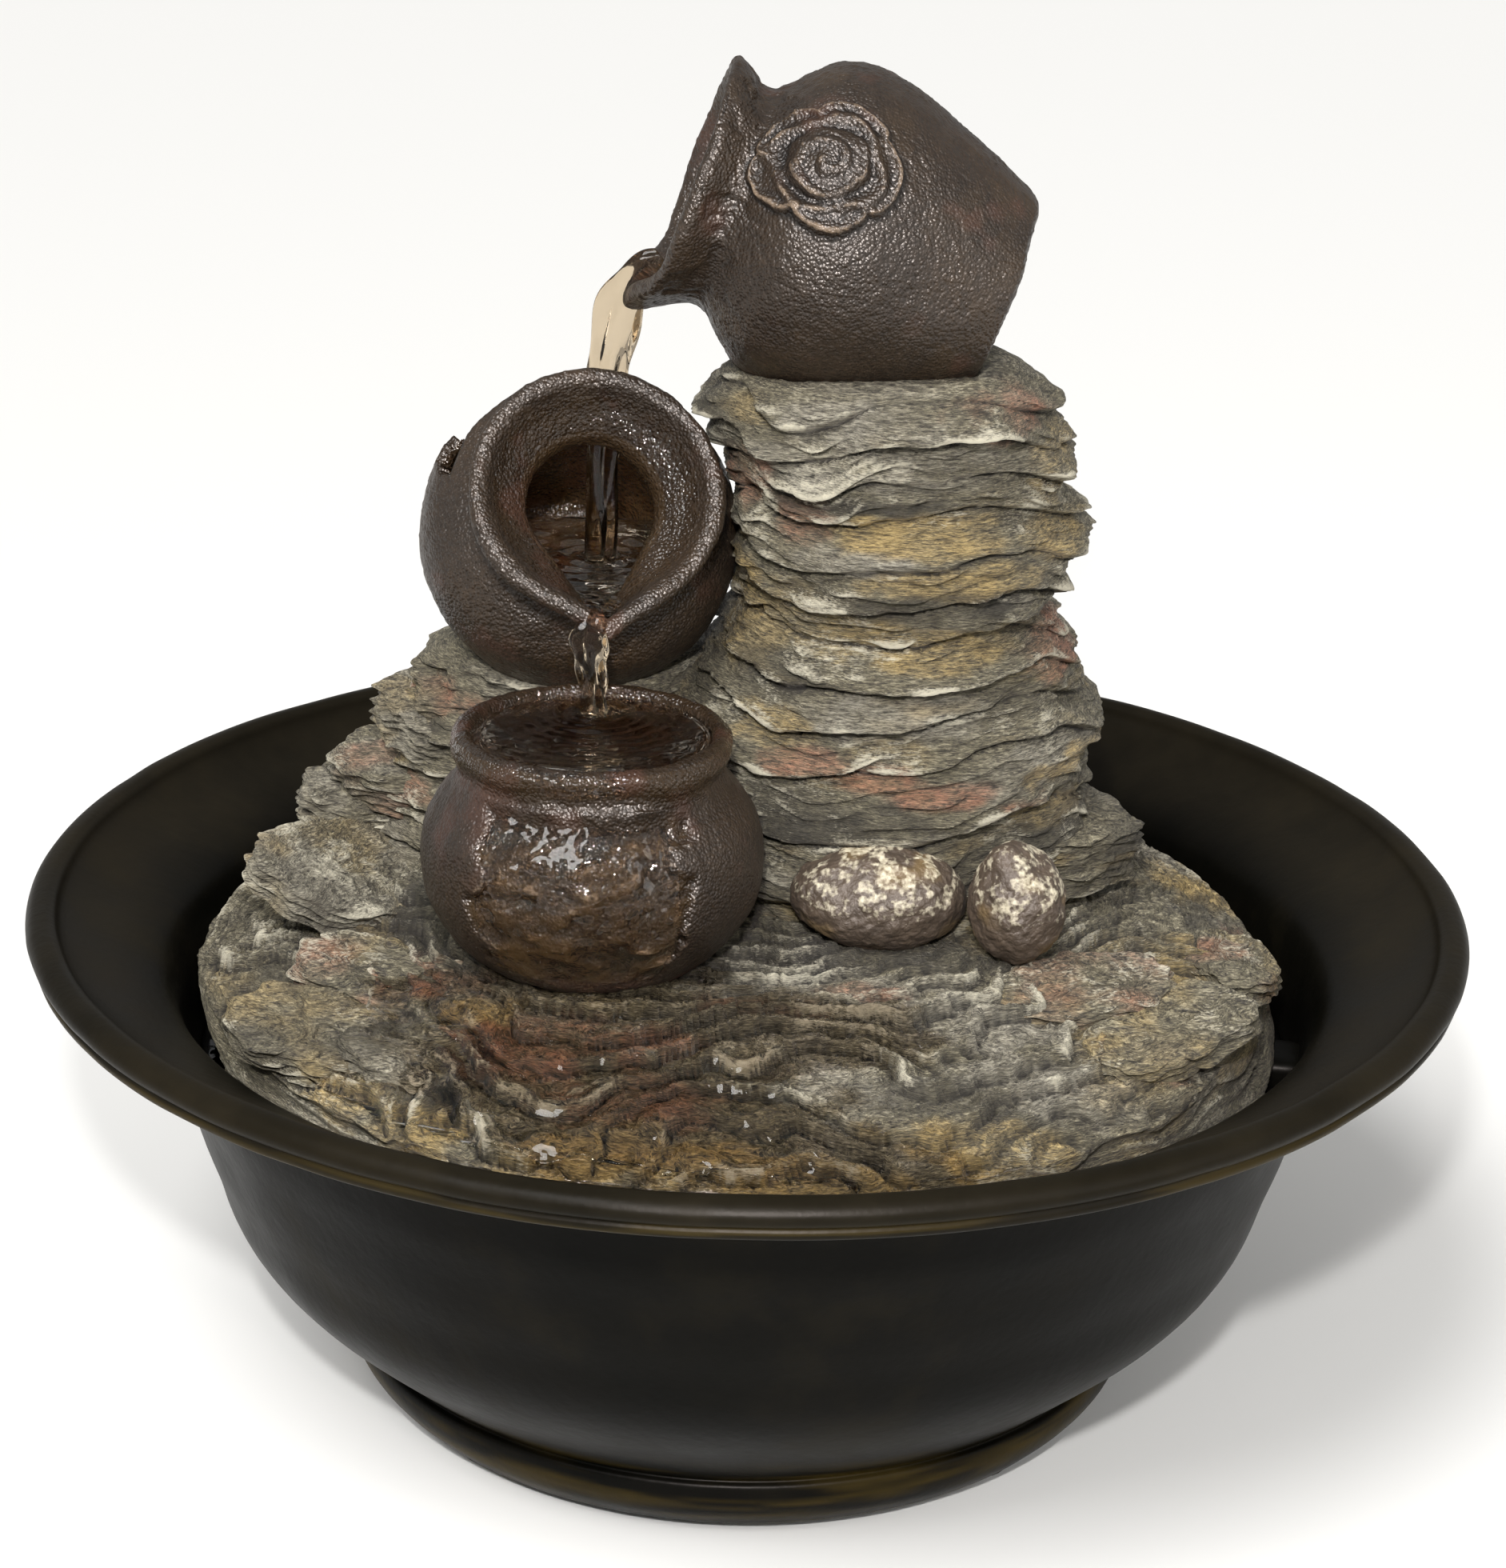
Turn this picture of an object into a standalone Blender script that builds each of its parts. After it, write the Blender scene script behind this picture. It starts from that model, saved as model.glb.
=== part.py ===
"""Three-jug tabletop water fountain: a flared bowl, lift-off rockwork that carries two tipped jugs and
an overflowing pot, and a small submersible pump. Metres, +Z up, origin under the bowl's axis at the
bottom of the feet. The front of the fountain faces -Y."""

import math
import random

import bpy
from mathutils import Matrix, Vector

# Overall sizes
RIM_RADIUS = 0.150
BOWL_HEIGHT = 0.110
COLUMN_HEIGHT = 0.088
JUG_RADIUS = 0.0335
JUG_LENGTH = 0.0667
POT_RADIUS = 0.034
POT_HEIGHT = 0.049

# Walls and clearances
BOWL_WALL = 0.004
JUG_WALL = 0.003
GAP = 0.0003
MOUND_GAP = 0.0035
JUG_SINK = 0.006

# Bowl
FOOT_RADIUS = 0.084
FOOT_HEIGHT = 0.016
FLOOR_Z = 0.011
PAD_RADIUS = 0.006
PAD_HEIGHT = 0.0015
LUG_WIDTH = 0.014
LUG_HEIGHT = 0.008
LUG_REACH = 0.012
RIM_DROP = 0.015

# Heights of the rockwork, each above the one before
SUPPORT_DROP = 0.030
TERRACE_RISE = 0.027
SHOULDER_RISE = 0.043
COLUMN_FOOT_RISE = 0.019

# Riser tube and pump
TUBE_BORE = 0.0040
TUBE_WALL = 0.0015
TUBE_FIT = 0.0004
GROMMET_RISE = 0.0025
PUMP_WIDTH = 0.042
PUMP_DEPTH = 0.034
PUMP_HEIGHT = 0.036
VOLUTE_DEPTH = 0.011
VOLUTE_BORE = 0.0115
COVER_WALL = 0.0018
CUP_HEIGHT = 0.005
CUP_RADIUS = 0.005
NOZZLE_LENGTH = 0.013
NOZZLE_BORE = 0.0024
WELL_RADIUS = 0.0072
WELL_DEPTH = 0.025
SHAFT_RADIUS = 0.0010
MAGNET_RADIUS = 0.0064
IMPELLER_RADIUS = 0.0095
RUNNING_FIT = 0.00008
DIAL_RADIUS = 0.0085
DIAL_STEM = 0.0030
DIAL_FLANGE = (0.0032, 0.0058)
BUSH_RADIUS = 0.0030
FRONT_BUSH_LENGTH = 0.0016
REAR_SOCKET_DEPTH = 0.0045
GLAND_RADIUS = 0.0040
GLAND_LENGTH = 0.0095
GLAND_SEAT = 0.006
IMPELLER_DEPTH = 0.0050
COVER_REACH = 0.010
PASS = 0.002

# Levels that follow from the sizes above
SUPPORT_Z = BOWL_HEIGHT - SUPPORT_DROP
TERRACE_Z = SUPPORT_Z + TERRACE_RISE
SHOULDER_Z = TERRACE_Z + SHOULDER_RISE
COLUMN_FOOT_Z = TERRACE_Z + COLUMN_FOOT_RISE
COLUMN_TOP_Z = COLUMN_FOOT_Z + COLUMN_HEIGHT
BRIM_Z = BOWL_HEIGHT - RIM_DROP
TUBE_OUTER = TUBE_BORE + TUBE_WALL
NOZZLE_OUTER = TUBE_BORE - TUBE_FIT

# Plan positions
MOUND_RADIUS = RIM_RADIUS * 0.79
TUBE_AT = Vector((0.028, 0.020))
POT_AT = Vector((-0.0315, -0.035))
COLUMN_AT = (0.030, 0.020)
COLUMN_RADII = (0.046, 0.041)
UPPER_JUG_AT = Vector((0.0130, 0.020))
MIDDLE_JUG_AT = Vector((-0.0374, 0.022))
UPPER_JUG_TILT = math.radians(19)
UPPER_JUG_TURN = math.radians(-90)
MIDDLE_JUG_TILT = math.radians(33)
MIDDLE_JUG_TURN = math.radians(11.5)

COLOURS = {
    "bowl_resin": ((0.020, 0.019, 0.012), 0.42, 0.0),
    "slate_resin": ((0.16, 0.14, 0.11), 0.62, 0.0),
    "jug_resin": ((0.055, 0.035, 0.024), 0.45, 0.0),
    "pebble_resin": ((0.16, 0.11, 0.06), 0.50, 0.0),
    "rubber": ((0.015, 0.015, 0.015), 0.70, 0.0),
    "pump_plastic": ((0.020, 0.020, 0.022), 0.38, 0.0),
    "rotor_plastic": ((0.55, 0.56, 0.56), 0.40, 0.0),
    "magnet": ((0.09, 0.09, 0.10), 0.45, 0.3),
    "ceramic": ((0.80, 0.79, 0.75), 0.25, 0.0),
    "vinyl": ((0.62, 0.66, 0.64), 0.20, 0.0),
}


def start_scene():
    for obj in list(bpy.data.objects):
        bpy.data.objects.remove(obj, do_unlink=True)
    made = {}
    for name in ("tabletop_fountain", "cutters"):
        made[name] = bpy.data.collections.new(name)
        bpy.context.scene.collection.children.link(made[name])
    made["cutters"].hide_render = True
    return made["tabletop_fountain"], made["cutters"]


PARTS, CUTTERS = start_scene()


def material(kind):
    if kind in bpy.data.materials:
        return bpy.data.materials[kind]
    colour, rough, metal = COLOURS[kind]
    made = bpy.data.materials.new(kind)
    made.use_nodes = True
    shader = made.node_tree.nodes["Principled BSDF"]
    shader.inputs["Base Color"].default_value = (*colour, 1)
    shader.inputs["Roughness"].default_value = rough
    shader.inputs["Metallic"].default_value = metal
    return made


def add_object(name, mesh, kind=None):
    """A part when it is given a material, otherwise a cutter."""
    obj = bpy.data.objects.new(name, mesh)
    if kind is None:
        CUTTERS.objects.link(obj)
        obj.hide_render = True
        obj.display_type = "WIRE"
    else:
        PARTS.objects.link(obj)
        mesh.materials.append(material(kind))
    return obj


def baked_mesh(obj):
    """The mesh of an object with its modifiers applied; the object is removed."""
    bpy.context.view_layer.update()
    evaluated = obj.evaluated_get(bpy.context.evaluated_depsgraph_get())
    mesh = bpy.data.meshes.new_from_object(evaluated)
    bpy.data.objects.remove(obj, do_unlink=True)
    return mesh


def take_primitive(name, kind):
    """The object that the last primitive operator added, moved to its collection."""
    made = bpy.context.active_object
    mesh = made.data
    obj = add_object(name, mesh, kind)
    obj.matrix_world = made.matrix_world.copy()
    bpy.data.objects.remove(made, do_unlink=True)
    return obj


def box(name, low, high, kind=None):
    centre = [(a + b) / 2 for a, b in zip(low, high)]
    bpy.ops.mesh.primitive_cube_add(size=1)
    obj = take_primitive(name, kind)
    obj.data.transform(Matrix.Diagonal([b - a for a, b in zip(low, high)]).to_4x4())
    obj.location = centre
    return obj


def cylinder(name, start, end, radius, kind=None, end_radius=None, steps=32):
    """A cylinder or a cone between two points."""
    start, end = Vector(start), Vector(end)
    top = radius if end_radius is None else end_radius
    length = (end - start).length
    bpy.ops.mesh.primitive_cone_add(vertices=steps, radius1=radius, radius2=top, depth=length)
    obj = take_primitive(name, kind)
    obj.rotation_mode = "QUATERNION"
    obj.rotation_quaternion = (end - start).to_track_quat("Z", "Y")
    obj.location = (start + end) / 2
    smooth(obj)
    return obj


def screwed(name, profile, steps):
    """The surface that a profile of (radius, height) points sweeps about Z."""
    mesh = bpy.data.meshes.new(name)
    edges = [(i, i + 1) for i in range(len(profile) - 1)]
    mesh.from_pydata([(radius, 0, height) for radius, height in profile], edges, [])
    raw = bpy.data.objects.new(name, mesh)
    CUTTERS.objects.link(raw)
    screw = raw.modifiers.new("Screw", "SCREW")
    screw.steps = screw.render_steps = steps
    screw.use_merge_vertices = True
    screw.merge_threshold = 0.00001
    return baked_mesh(raw)


def turned(name, profile, kind=None, steps=32):
    """A turned solid: the profile runs up the inside, over the top and down the outside."""
    obj = add_object(name, screwed(name, profile, steps), kind)
    smooth(obj)
    return obj


def smooth(obj, angle=35):
    obj.data.shade_smooth()
    obj.data.set_sharp_from_angle(angle=math.radians(angle))


def boolean(obj, other, operation="DIFFERENCE"):
    made = obj.modifiers.new(other.name, "BOOLEAN")
    made.operation = operation
    made.solver = "EXACT"
    made.object = other


# ---- bowl ----------------------------------------------------------------------------------------

def bowl_outer():
    """Outer wall from the brim down to the foot, as (radius, height); the belly grows with the rim."""
    grow = RIM_RADIUS / 0.150
    belly = [(0.124, 1.00), (0.1196, 0.75), (0.1135, 0.49)]
    belly += [(0.1108, 0.38), (0.1060, 0.26), (0.0979, 0.145), (0.090, 0.05)]
    rise = BRIM_Z - FOOT_HEIGHT
    return [(radius * grow, FOOT_HEIGHT + share * rise) for radius, share in belly]


def bowl_radius(height):
    """Inner radius of the bowl's wall at a height."""
    wall = bowl_outer()
    for (high_r, high_z), (low_r, low_z) in zip(wall, wall[1:]):
        if height >= low_z:
            share = min((height - low_z) / (high_z - low_z), 1)
            return low_r + share * (high_r - low_r) - BOWL_WALL
    return wall[-1][0] - BOWL_WALL


def bowl_profile():
    outer = bowl_outer()
    inner = [(radius - BOWL_WALL, height) for radius, height in reversed(outer[:-1])]
    brim_edge = inner[-1][0]
    floor = [(0, FLOOR_Z), (FOOT_RADIUS - 0.010, FLOOR_Z), (FOOT_RADIUS - 0.002, FLOOR_Z + 0.004)]
    brim = [(brim_edge + 0.002, BRIM_Z + 0.001), (RIM_RADIUS - 0.014, BOWL_HEIGHT - 0.005)]
    lip = [
        (RIM_RADIUS - 0.004, BOWL_HEIGHT),
        (RIM_RADIUS - 0.0016, BOWL_HEIGHT - 0.0008),
        (RIM_RADIUS, BOWL_HEIGHT - 0.0028),
        (RIM_RADIUS - 0.004, BOWL_HEIGHT - 0.0070),
        (RIM_RADIUS - 0.012, BOWL_HEIGHT - 0.0098),
        (outer[0][0] + 0.004, BRIM_Z - 0.0012),
    ]
    foot = [
        (FOOT_RADIUS + 0.0005, FOOT_HEIGHT - 0.0015),
        (FOOT_RADIUS - 0.0010, FOOT_HEIGHT - 0.0075),
        (FOOT_RADIUS - 0.0046, PAD_HEIGHT + 0.001),
        (FOOT_RADIUS - 0.0052, PAD_HEIGHT + GAP),
        (FOOT_RADIUS - 0.0200, PAD_HEIGHT + GAP),
        (FOOT_RADIUS - 0.0225, FLOOR_Z - BOWL_WALL),
        (0, FLOOR_Z - BOWL_WALL),
    ]
    return floor + inner + brim + lip + outer + foot


def make_bowl():
    """A turned bowl with four lugs on its wall that carry the rockwork."""
    bowl = turned("bowl", bowl_profile(), "bowl_resin", steps=48)
    for index in range(4):
        angle = math.radians(-7.5 + 90 * index)
        wall = bowl_radius(SUPPORT_Z - LUG_HEIGHT)
        lug = box(
            f"lug_{index}",
            (wall - LUG_REACH, -LUG_WIDTH / 2, SUPPORT_Z - LUG_HEIGHT),
            (wall + BOWL_WALL * 0.6, LUG_WIDTH / 2, SUPPORT_Z - GAP),
        )
        lug.data.transform(Matrix.Translation(lug.location))
        lug.location = (0, 0, 0)
        lug.data.transform(Matrix.Rotation(angle, 4, "Z"))
        boolean(bowl, lug, "UNION")
    return bowl


def make_pads():
    """Four rubber pads under the foot ring."""
    ring = FOOT_RADIUS - 0.0126
    for index, name in enumerate(("right", "back", "left", "front")):
        angle = math.radians(45 + 90 * index)
        x, y = ring * math.cos(angle), ring * math.sin(angle)
        cylinder(f"foot_pad_{name}", (x, y, 0), (x, y, PAD_HEIGHT), PAD_RADIUS, "rubber", steps=24)


# ---- jugs ----------------------------------------------------------------------------------------

JUG_SHAPE = [
    (0.56, 0.0), (0.64, 0.045), (0.755, 0.18), (0.865, 0.31), (0.965, 0.45), (1.0, 0.57),
    (0.96, 0.69), (0.81, 0.81), (0.69, 0.87), (0.70, 0.91), (0.78, 1.0),
]
JUG_EQUATOR = 0.57
VESSEL_STEPS = 28
SPOUT_POINT = 1.20
POT_SHAPE = [
    (0.60, 0.0), (0.70, 0.05), (0.90, 0.22), (1.0, 0.42), (0.96, 0.62), (0.80, 0.78),
    (0.73, 0.84), (0.78, 0.90), (0.79, 0.97), (0.77, 1.0),
]


def vessel_profile(shape, radius, length, grow=0.0):
    """Outer wall from the mouth down to the base, then to the axis."""
    wall = [(share * radius + grow, height * length) for share, height in reversed(shape)]
    foot_radius, foot_height = wall[-1]
    return wall[:-1] + [(foot_radius, foot_height - grow), (0, foot_height - grow)]


def pull_spout(mesh, length):
    """Draws the mouth out to a point on the +X side: the rim runs along the two lines from the point
    that touch its circle, and the pull fades out at the neck."""
    neck = 0.86 * length
    tangent = math.acos(1 / SPOUT_POINT)
    for vertex in mesh.vertices:
        fade = max(0, min(1, (vertex.co.z - neck) / (length - neck)))
        angle = abs(math.atan2(vertex.co.y, vertex.co.x))
        if fade > 0 and angle < tangent:
            stretch = 1 + fade * (1 / math.cos(tangent - angle) - 1)
            vertex.co.x *= stretch
            vertex.co.y *= stretch


def vessel(name, shape, radius, length, spout):
    """A hollow vessel, open at the mouth: its outer skin gets its wall inwards."""
    skin = screwed(name, vessel_profile(shape, radius, length), VESSEL_STEPS)
    if spout:
        pull_spout(skin, length)
    obj = add_object(name, skin, "jug_resin")
    wall = obj.modifiers.new("Wall", "SOLIDIFY")
    wall.thickness = JUG_WALL
    wall.offset = -1
    wall.use_even_offset = True
    smooth(obj)
    return obj


def seat_cutter(name, shape, radius, length, spout):
    """The vessel's outer form, larger by the gap, which cuts its seat in the rock. It runs past the
    mouth by the wall, because a flared rim's wall leans out there."""
    mouth = length + JUG_WALL + GAP
    walls = vessel_profile(shape, radius, length, GAP)
    profile = [(0, mouth), (walls[0][0], mouth)] + walls
    cutter = turned(name, profile, steps=VESSEL_STEPS)
    if spout:
        pull_spout(cutter.data, length)
    return cutter


def jug_frame(plan, ground, tilt, turn):
    """Places a jug that lies on its belly: local +Z is its axis, local +X is its spout side."""
    level = Vector((math.sin(turn), -math.cos(turn), 0))
    axis = level * math.cos(tilt) + Vector((0, 0, math.sin(tilt)))
    spout = (axis * axis.z - Vector((0, 0, 1))).normalized()
    side = axis.cross(spout)
    centre = Vector((plan.x, plan.y, ground + JUG_RADIUS - JUG_SINK + 0.0002))
    base = centre - axis * JUG_EQUATOR * JUG_LENGTH
    frame = Matrix((spout, side, axis)).transposed().to_4x4()
    frame.translation = base
    return frame


def upper_jug_frame():
    lift = JUG_RADIUS * (1 / math.cos(UPPER_JUG_TILT) - 1)
    return jug_frame(UPPER_JUG_AT, COLUMN_TOP_Z + lift, UPPER_JUG_TILT, UPPER_JUG_TURN)


def middle_jug_frame():
    return jug_frame(MIDDLE_JUG_AT, SHOULDER_Z, MIDDLE_JUG_TILT, MIDDLE_JUG_TURN)


def pot_frame():
    return Matrix.Translation((POT_AT.x, POT_AT.y, TERRACE_Z - 0.001))


def make_upper_jug(grommet_radius):
    """The jug on the column; the riser tube comes up through a hole in its belly."""
    jug = vessel("upper_jug", JUG_SHAPE, JUG_RADIUS, JUG_LENGTH, spout=True)
    jug.matrix_world = upper_jug_frame()
    centre_z = (jug.matrix_world @ Vector((0, 0, JUG_EQUATOR * JUG_LENGTH))).z
    hole = cylinder(
        "upper_jug_hole", (*TUBE_AT, centre_z - JUG_RADIUS * 1.3), (*TUBE_AT, centre_z - 0.010),
        grommet_radius + GAP, steps=24,
    )
    boolean(jug, hole)
    return centre_z


def make_middle_jug():
    """The broken jug: its back is open above, where the upper stream falls in."""
    jug = vessel("middle_jug", JUG_SHAPE, JUG_RADIUS, JUG_LENGTH, spout=True)
    jug.matrix_world = middle_jug_frame()
    centre = jug.matrix_world @ Vector((0, 0, JUG_EQUATOR * JUG_LENGTH))
    opening = box(
        "middle_jug_opening",
        (centre.x - JUG_RADIUS * 0.62, centre.y - 0.006, centre.z + JUG_RADIUS * 0.55),
        (centre.x + JUG_RADIUS * 0.55, centre.y + JUG_RADIUS * 1.2, centre.z + JUG_RADIUS * 1.5),
    )
    boolean(jug, opening)


def make_lower_pot():
    pot = vessel("lower_pot", POT_SHAPE, POT_RADIUS, POT_HEIGHT, spout=False)
    pot.matrix_world = pot_frame()


# ---- rockwork ------------------------------------------------------------------------------------

def slab(name, centre, radii, low, high, seed, kind=None, sides=12):
    """A rough slate slab: a short cylinder whose outline is uneven and whose top is a little smaller."""
    bpy.ops.mesh.primitive_cylinder_add(vertices=sides, radius=1, depth=1)
    obj = take_primitive(name, kind)
    rough = random.Random(seed)
    uneven = [rough.uniform(0.93, 1.0) for _ in range(sides)]
    for vertex in obj.data.vertices:
        side = round(math.atan2(vertex.co.y, vertex.co.x) / math.tau * sides) % sides
        taper = 0.95 if vertex.co.z > 0 else 1
        vertex.co.x *= radii[0] * uneven[side] * taper
        vertex.co.y *= radii[1] * uneven[side] * taper
        vertex.co.z = high if vertex.co.z > 0 else low
    obj.location = (centre[0], centre[1], 0)
    return obj


def stack(name, slabs, kind):
    """One rock from overlapping slabs."""
    rock = slab(name, *slabs[0], seed=1, kind=kind, sides=24)
    for index, values in enumerate(slabs[1:], start=2):
        boolean(rock, slab(f"{name}_slab_{index}", *values, seed=index), "UNION")
    return rock


def make_rock_base():
    """The mound: terraces, the shoulder under the middle jug and the step under the column. It is a
    hollow casting that stands on the bowl's lugs, with the pump's chamber open below."""
    size = MOUND_RADIUS
    low, terrace, foot = SUPPORT_Z, TERRACE_Z, COLUMN_FOOT_Z
    chamber_roof = terrace - 0.010
    inner = min(size, bowl_radius(SUPPORT_Z) - MOUND_GAP)
    slabs = [
        ((0, 0), (inner, inner), low, low + 0.014),
        ((0.002, -0.004), (size * 0.90, size * 0.89), low + 0.010, low + 0.020),
        ((0.004, -0.020), (size * 0.80, size * 0.66), low + 0.016, low + 0.0245),
        ((0.044, -0.024), (size * 0.36, size * 0.26), low + 0.020, terrace + 0.001),
        ((-0.040, -0.030), (size * 0.40, size * 0.34), low + 0.020, terrace),
        ((-0.058, 0.034), (size * 0.38, size * 0.42), low + 0.016, terrace + 0.006),
        ((-0.052, 0.034), (size * 0.30, size * 0.30), terrace + 0.002, terrace + 0.022),
        ((MIDDLE_JUG_AT.x - 0.002, 0.034), (0.034, 0.030), terrace + 0.016, SHOULDER_Z),
        ((0.045, 0.050), (size * 0.44, size * 0.38), low + 0.016, terrace + 0.003),
        ((0.032, 0.022), (0.049, 0.044), terrace - 0.004, foot - GAP),
    ]
    rock = stack("rock_base", slabs, "slate_resin")
    chamber = cylinder(
        "pump_chamber", (0, 0, low - 0.002), (0, 0, chamber_roof), inner - 0.014,
        end_radius=inner * 0.68, steps=32,
    )
    boolean(rock, chamber)
    riser_way = cylinder("riser_way", (*TUBE_AT, low), (*TUBE_AT, foot + 0.004), 0.026, steps=24)
    boolean(rock, riser_way)
    core = cylinder(
        "shoulder_core", (MIDDLE_JUG_AT.x, 0.034, low), (MIDDLE_JUG_AT.x, 0.034, SHOULDER_Z - 0.015),
        0.018, end_radius=0.013, steps=20,
    )
    boolean(rock, core)
    column_way = cylinder("column_way", (0, 0, foot - GAP), (0, 0, SHOULDER_Z + 0.01), 1, steps=48)
    column_way.data.transform(Matrix.Diagonal((COLUMN_RADII[0] + GAP, COLUMN_RADII[1] + GAP, 1, 1)))
    column_way.location.x, column_way.location.y = COLUMN_AT
    boolean(rock, column_way)
    return rock


def make_rock_column(bore):
    """Stacked slate that carries the upper jug, hollow around the riser tube."""
    foot, high = COLUMN_FOOT_Z, COLUMN_HEIGHT
    slabs = [
        (COLUMN_AT, COLUMN_RADII, foot, foot + high * 0.20),
        ((0.031, 0.022), (0.040, 0.038), foot + high * 0.17, foot + high * 0.37),
        ((0.028, 0.020), (0.041, 0.038), foot + high * 0.34, foot + high * 0.53),
        ((0.030, 0.022), (0.042, 0.037), foot + high * 0.50, foot + high * 0.69),
        ((0.026, 0.020), (0.039, 0.036), foot + high * 0.66, foot + high * 0.85),
        ((0.026, 0.021), (0.038, 0.035), foot + high * 0.82, foot + high),
    ]
    rock = stack("rock_column", slabs, "slate_resin")
    hollow = cylinder(
        "column_hollow", (*TUBE_AT, foot - 0.002), (*TUBE_AT, foot + high * 0.80), 0.026,
        end_radius=0.018, steps=24,
    )
    boolean(rock, hollow)
    boolean(rock, cylinder("tube_bore", (*TUBE_AT, foot), (*TUBE_AT, foot + high + 0.01), bore, steps=24))
    return rock


def cut_seats(base, column):
    """The seats of the two jugs and the pot in the rock."""
    upper = seat_cutter("upper_jug_seat", JUG_SHAPE, JUG_RADIUS, JUG_LENGTH, spout=True)
    upper.matrix_world = upper_jug_frame()
    boolean(column, upper)
    middle = seat_cutter("middle_jug_seat", JUG_SHAPE, JUG_RADIUS, JUG_LENGTH, spout=True)
    middle.matrix_world = middle_jug_frame()
    boolean(base, middle)
    boolean(column, middle)
    pot = seat_cutter("pot_seat", POT_SHAPE, POT_RADIUS, POT_HEIGHT, spout=False)
    pot.matrix_world = pot_frame()
    boolean(base, pot)


PEBBLES = {
    "pebble_large": ((0.0268, -0.0270), (0.0180, 0.0125, 0.0105)),
    "pebble_small": ((0.0542, -0.0330), (0.0098, 0.0105, 0.0120)),
}
PEBBLE_SINK = 0.0015


def pebble(name, spot, radii, kind=None, grow=0.0):
    """A worn pebble bedded in the terrace; a grown one cuts its bed."""
    bpy.ops.mesh.primitive_uv_sphere_add(segments=16, ring_count=9, radius=1)
    obj = take_primitive(name, kind)
    for vertex in obj.data.vertices:
        x, y, z = vertex.co
        bulge = 1 + 0.06 * math.sin(2.1 * x + 1.3) * math.cos(1.7 * y)
        wide, deep, tall = (radius + grow for radius in radii)
        vertex.co = Vector((x * wide * bulge, y * deep * bulge, z * tall))
    obj.location = (*spot, TERRACE_Z + 0.001 + radii[2] - PEBBLE_SINK)
    smooth(obj)
    return obj


def make_pebbles(base):
    for name, (spot, radii) in PEBBLES.items():
        pebble(name, spot, radii, "pebble_resin")
        boolean(base, pebble(f"{name}_bed", spot, radii, grow=2 * GAP))


# ---- pump ----------------------------------------------------------------------------------------

def pump_levels():
    """Bottom and axis heights of the pump body."""
    bottom = FLOOR_Z + GAP + CUP_HEIGHT + GAP
    return bottom, bottom + PUMP_HEIGHT / 2


def make_pump():
    """The pump stands on four suction cups on the bowl's floor, with its rotor's axis along Y and its
    outlet straight up under the riser tube."""
    bottom, axis_z = pump_levels()
    top = bottom + PUMP_HEIGHT
    x, y = TUBE_AT
    half = PUMP_WIDTH / 2
    volute_back = y + VOLUTE_DEPTH / 2
    volute_front = y - VOLUTE_DEPTH / 2
    body_front = volute_back + GAP
    body_back = body_front + PUMP_DEPTH

    body = box("pump_body", (x - half, body_front, bottom), (x + half, body_back, top), "pump_plastic")
    bevel = body.modifiers.new("Edges", "BEVEL")
    bevel.width = 0.003
    bevel.segments = 3
    well = cylinder(
        "rotor_well", (x, body_front - PASS, axis_z), (x, body_front + WELL_DEPTH, axis_z), WELL_RADIUS,
        steps=28,
    )
    boolean(body, well)
    rear_bush_y = body_front + WELL_DEPTH
    boolean(body, cylinder(
        "rear_bush_socket", (x, rear_bush_y - PASS, axis_z), (x, rear_bush_y + REAR_SOCKET_DEPTH, axis_z),
        BUSH_RADIUS + GAP, steps=20,
    ))
    gland_z = top - 0.010
    boolean(body, cylinder(
        "gland_socket", (x, body_back - GLAND_SEAT, gland_z), (x, body_back + PASS, gland_z),
        GLAND_RADIUS + GAP, steps=20,
    ))
    smooth(body)

    ring_bush("rear_bush", x, axis_z, rear_bush_y, rear_bush_y + REAR_SOCKET_DEPTH - GAP)
    gland = turned("cord_gland", tube_profile(0.0018, GLAND_RADIUS, GLAND_LENGTH), "rubber", steps=20)
    gland.rotation_euler = (math.radians(-90), 0, 0)
    gland.location = (x, body_back - GLAND_SEAT + GAP, gland_z)

    make_volute(x, volute_front, volute_back, axis_z, top)
    front_bush_y = volute_front + COVER_WALL
    make_rotor(x, axis_z, front_bush_y, rear_bush_y)
    make_front_cover(x, y, volute_front, volute_back, bottom, top, axis_z)
    make_cups(x, body_front, body_back, half, bottom)


def tube_profile(inner, outer, length):
    """A plain ring: up the inside, across the top and down the outside."""
    return [(inner, 0), (inner, length), (outer, length), (outer, 0), (inner, 0)]


def ring_bush(name, x, z, start, end):
    """A rubber bush that holds one end of the rotor's shaft."""
    bush = turned(name, tube_profile(SHAFT_RADIUS + GAP, BUSH_RADIUS, end - start), "rubber", steps=20)
    bush.rotation_euler = (math.radians(-90), 0, 0)
    bush.location = (x, start, z)


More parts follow.
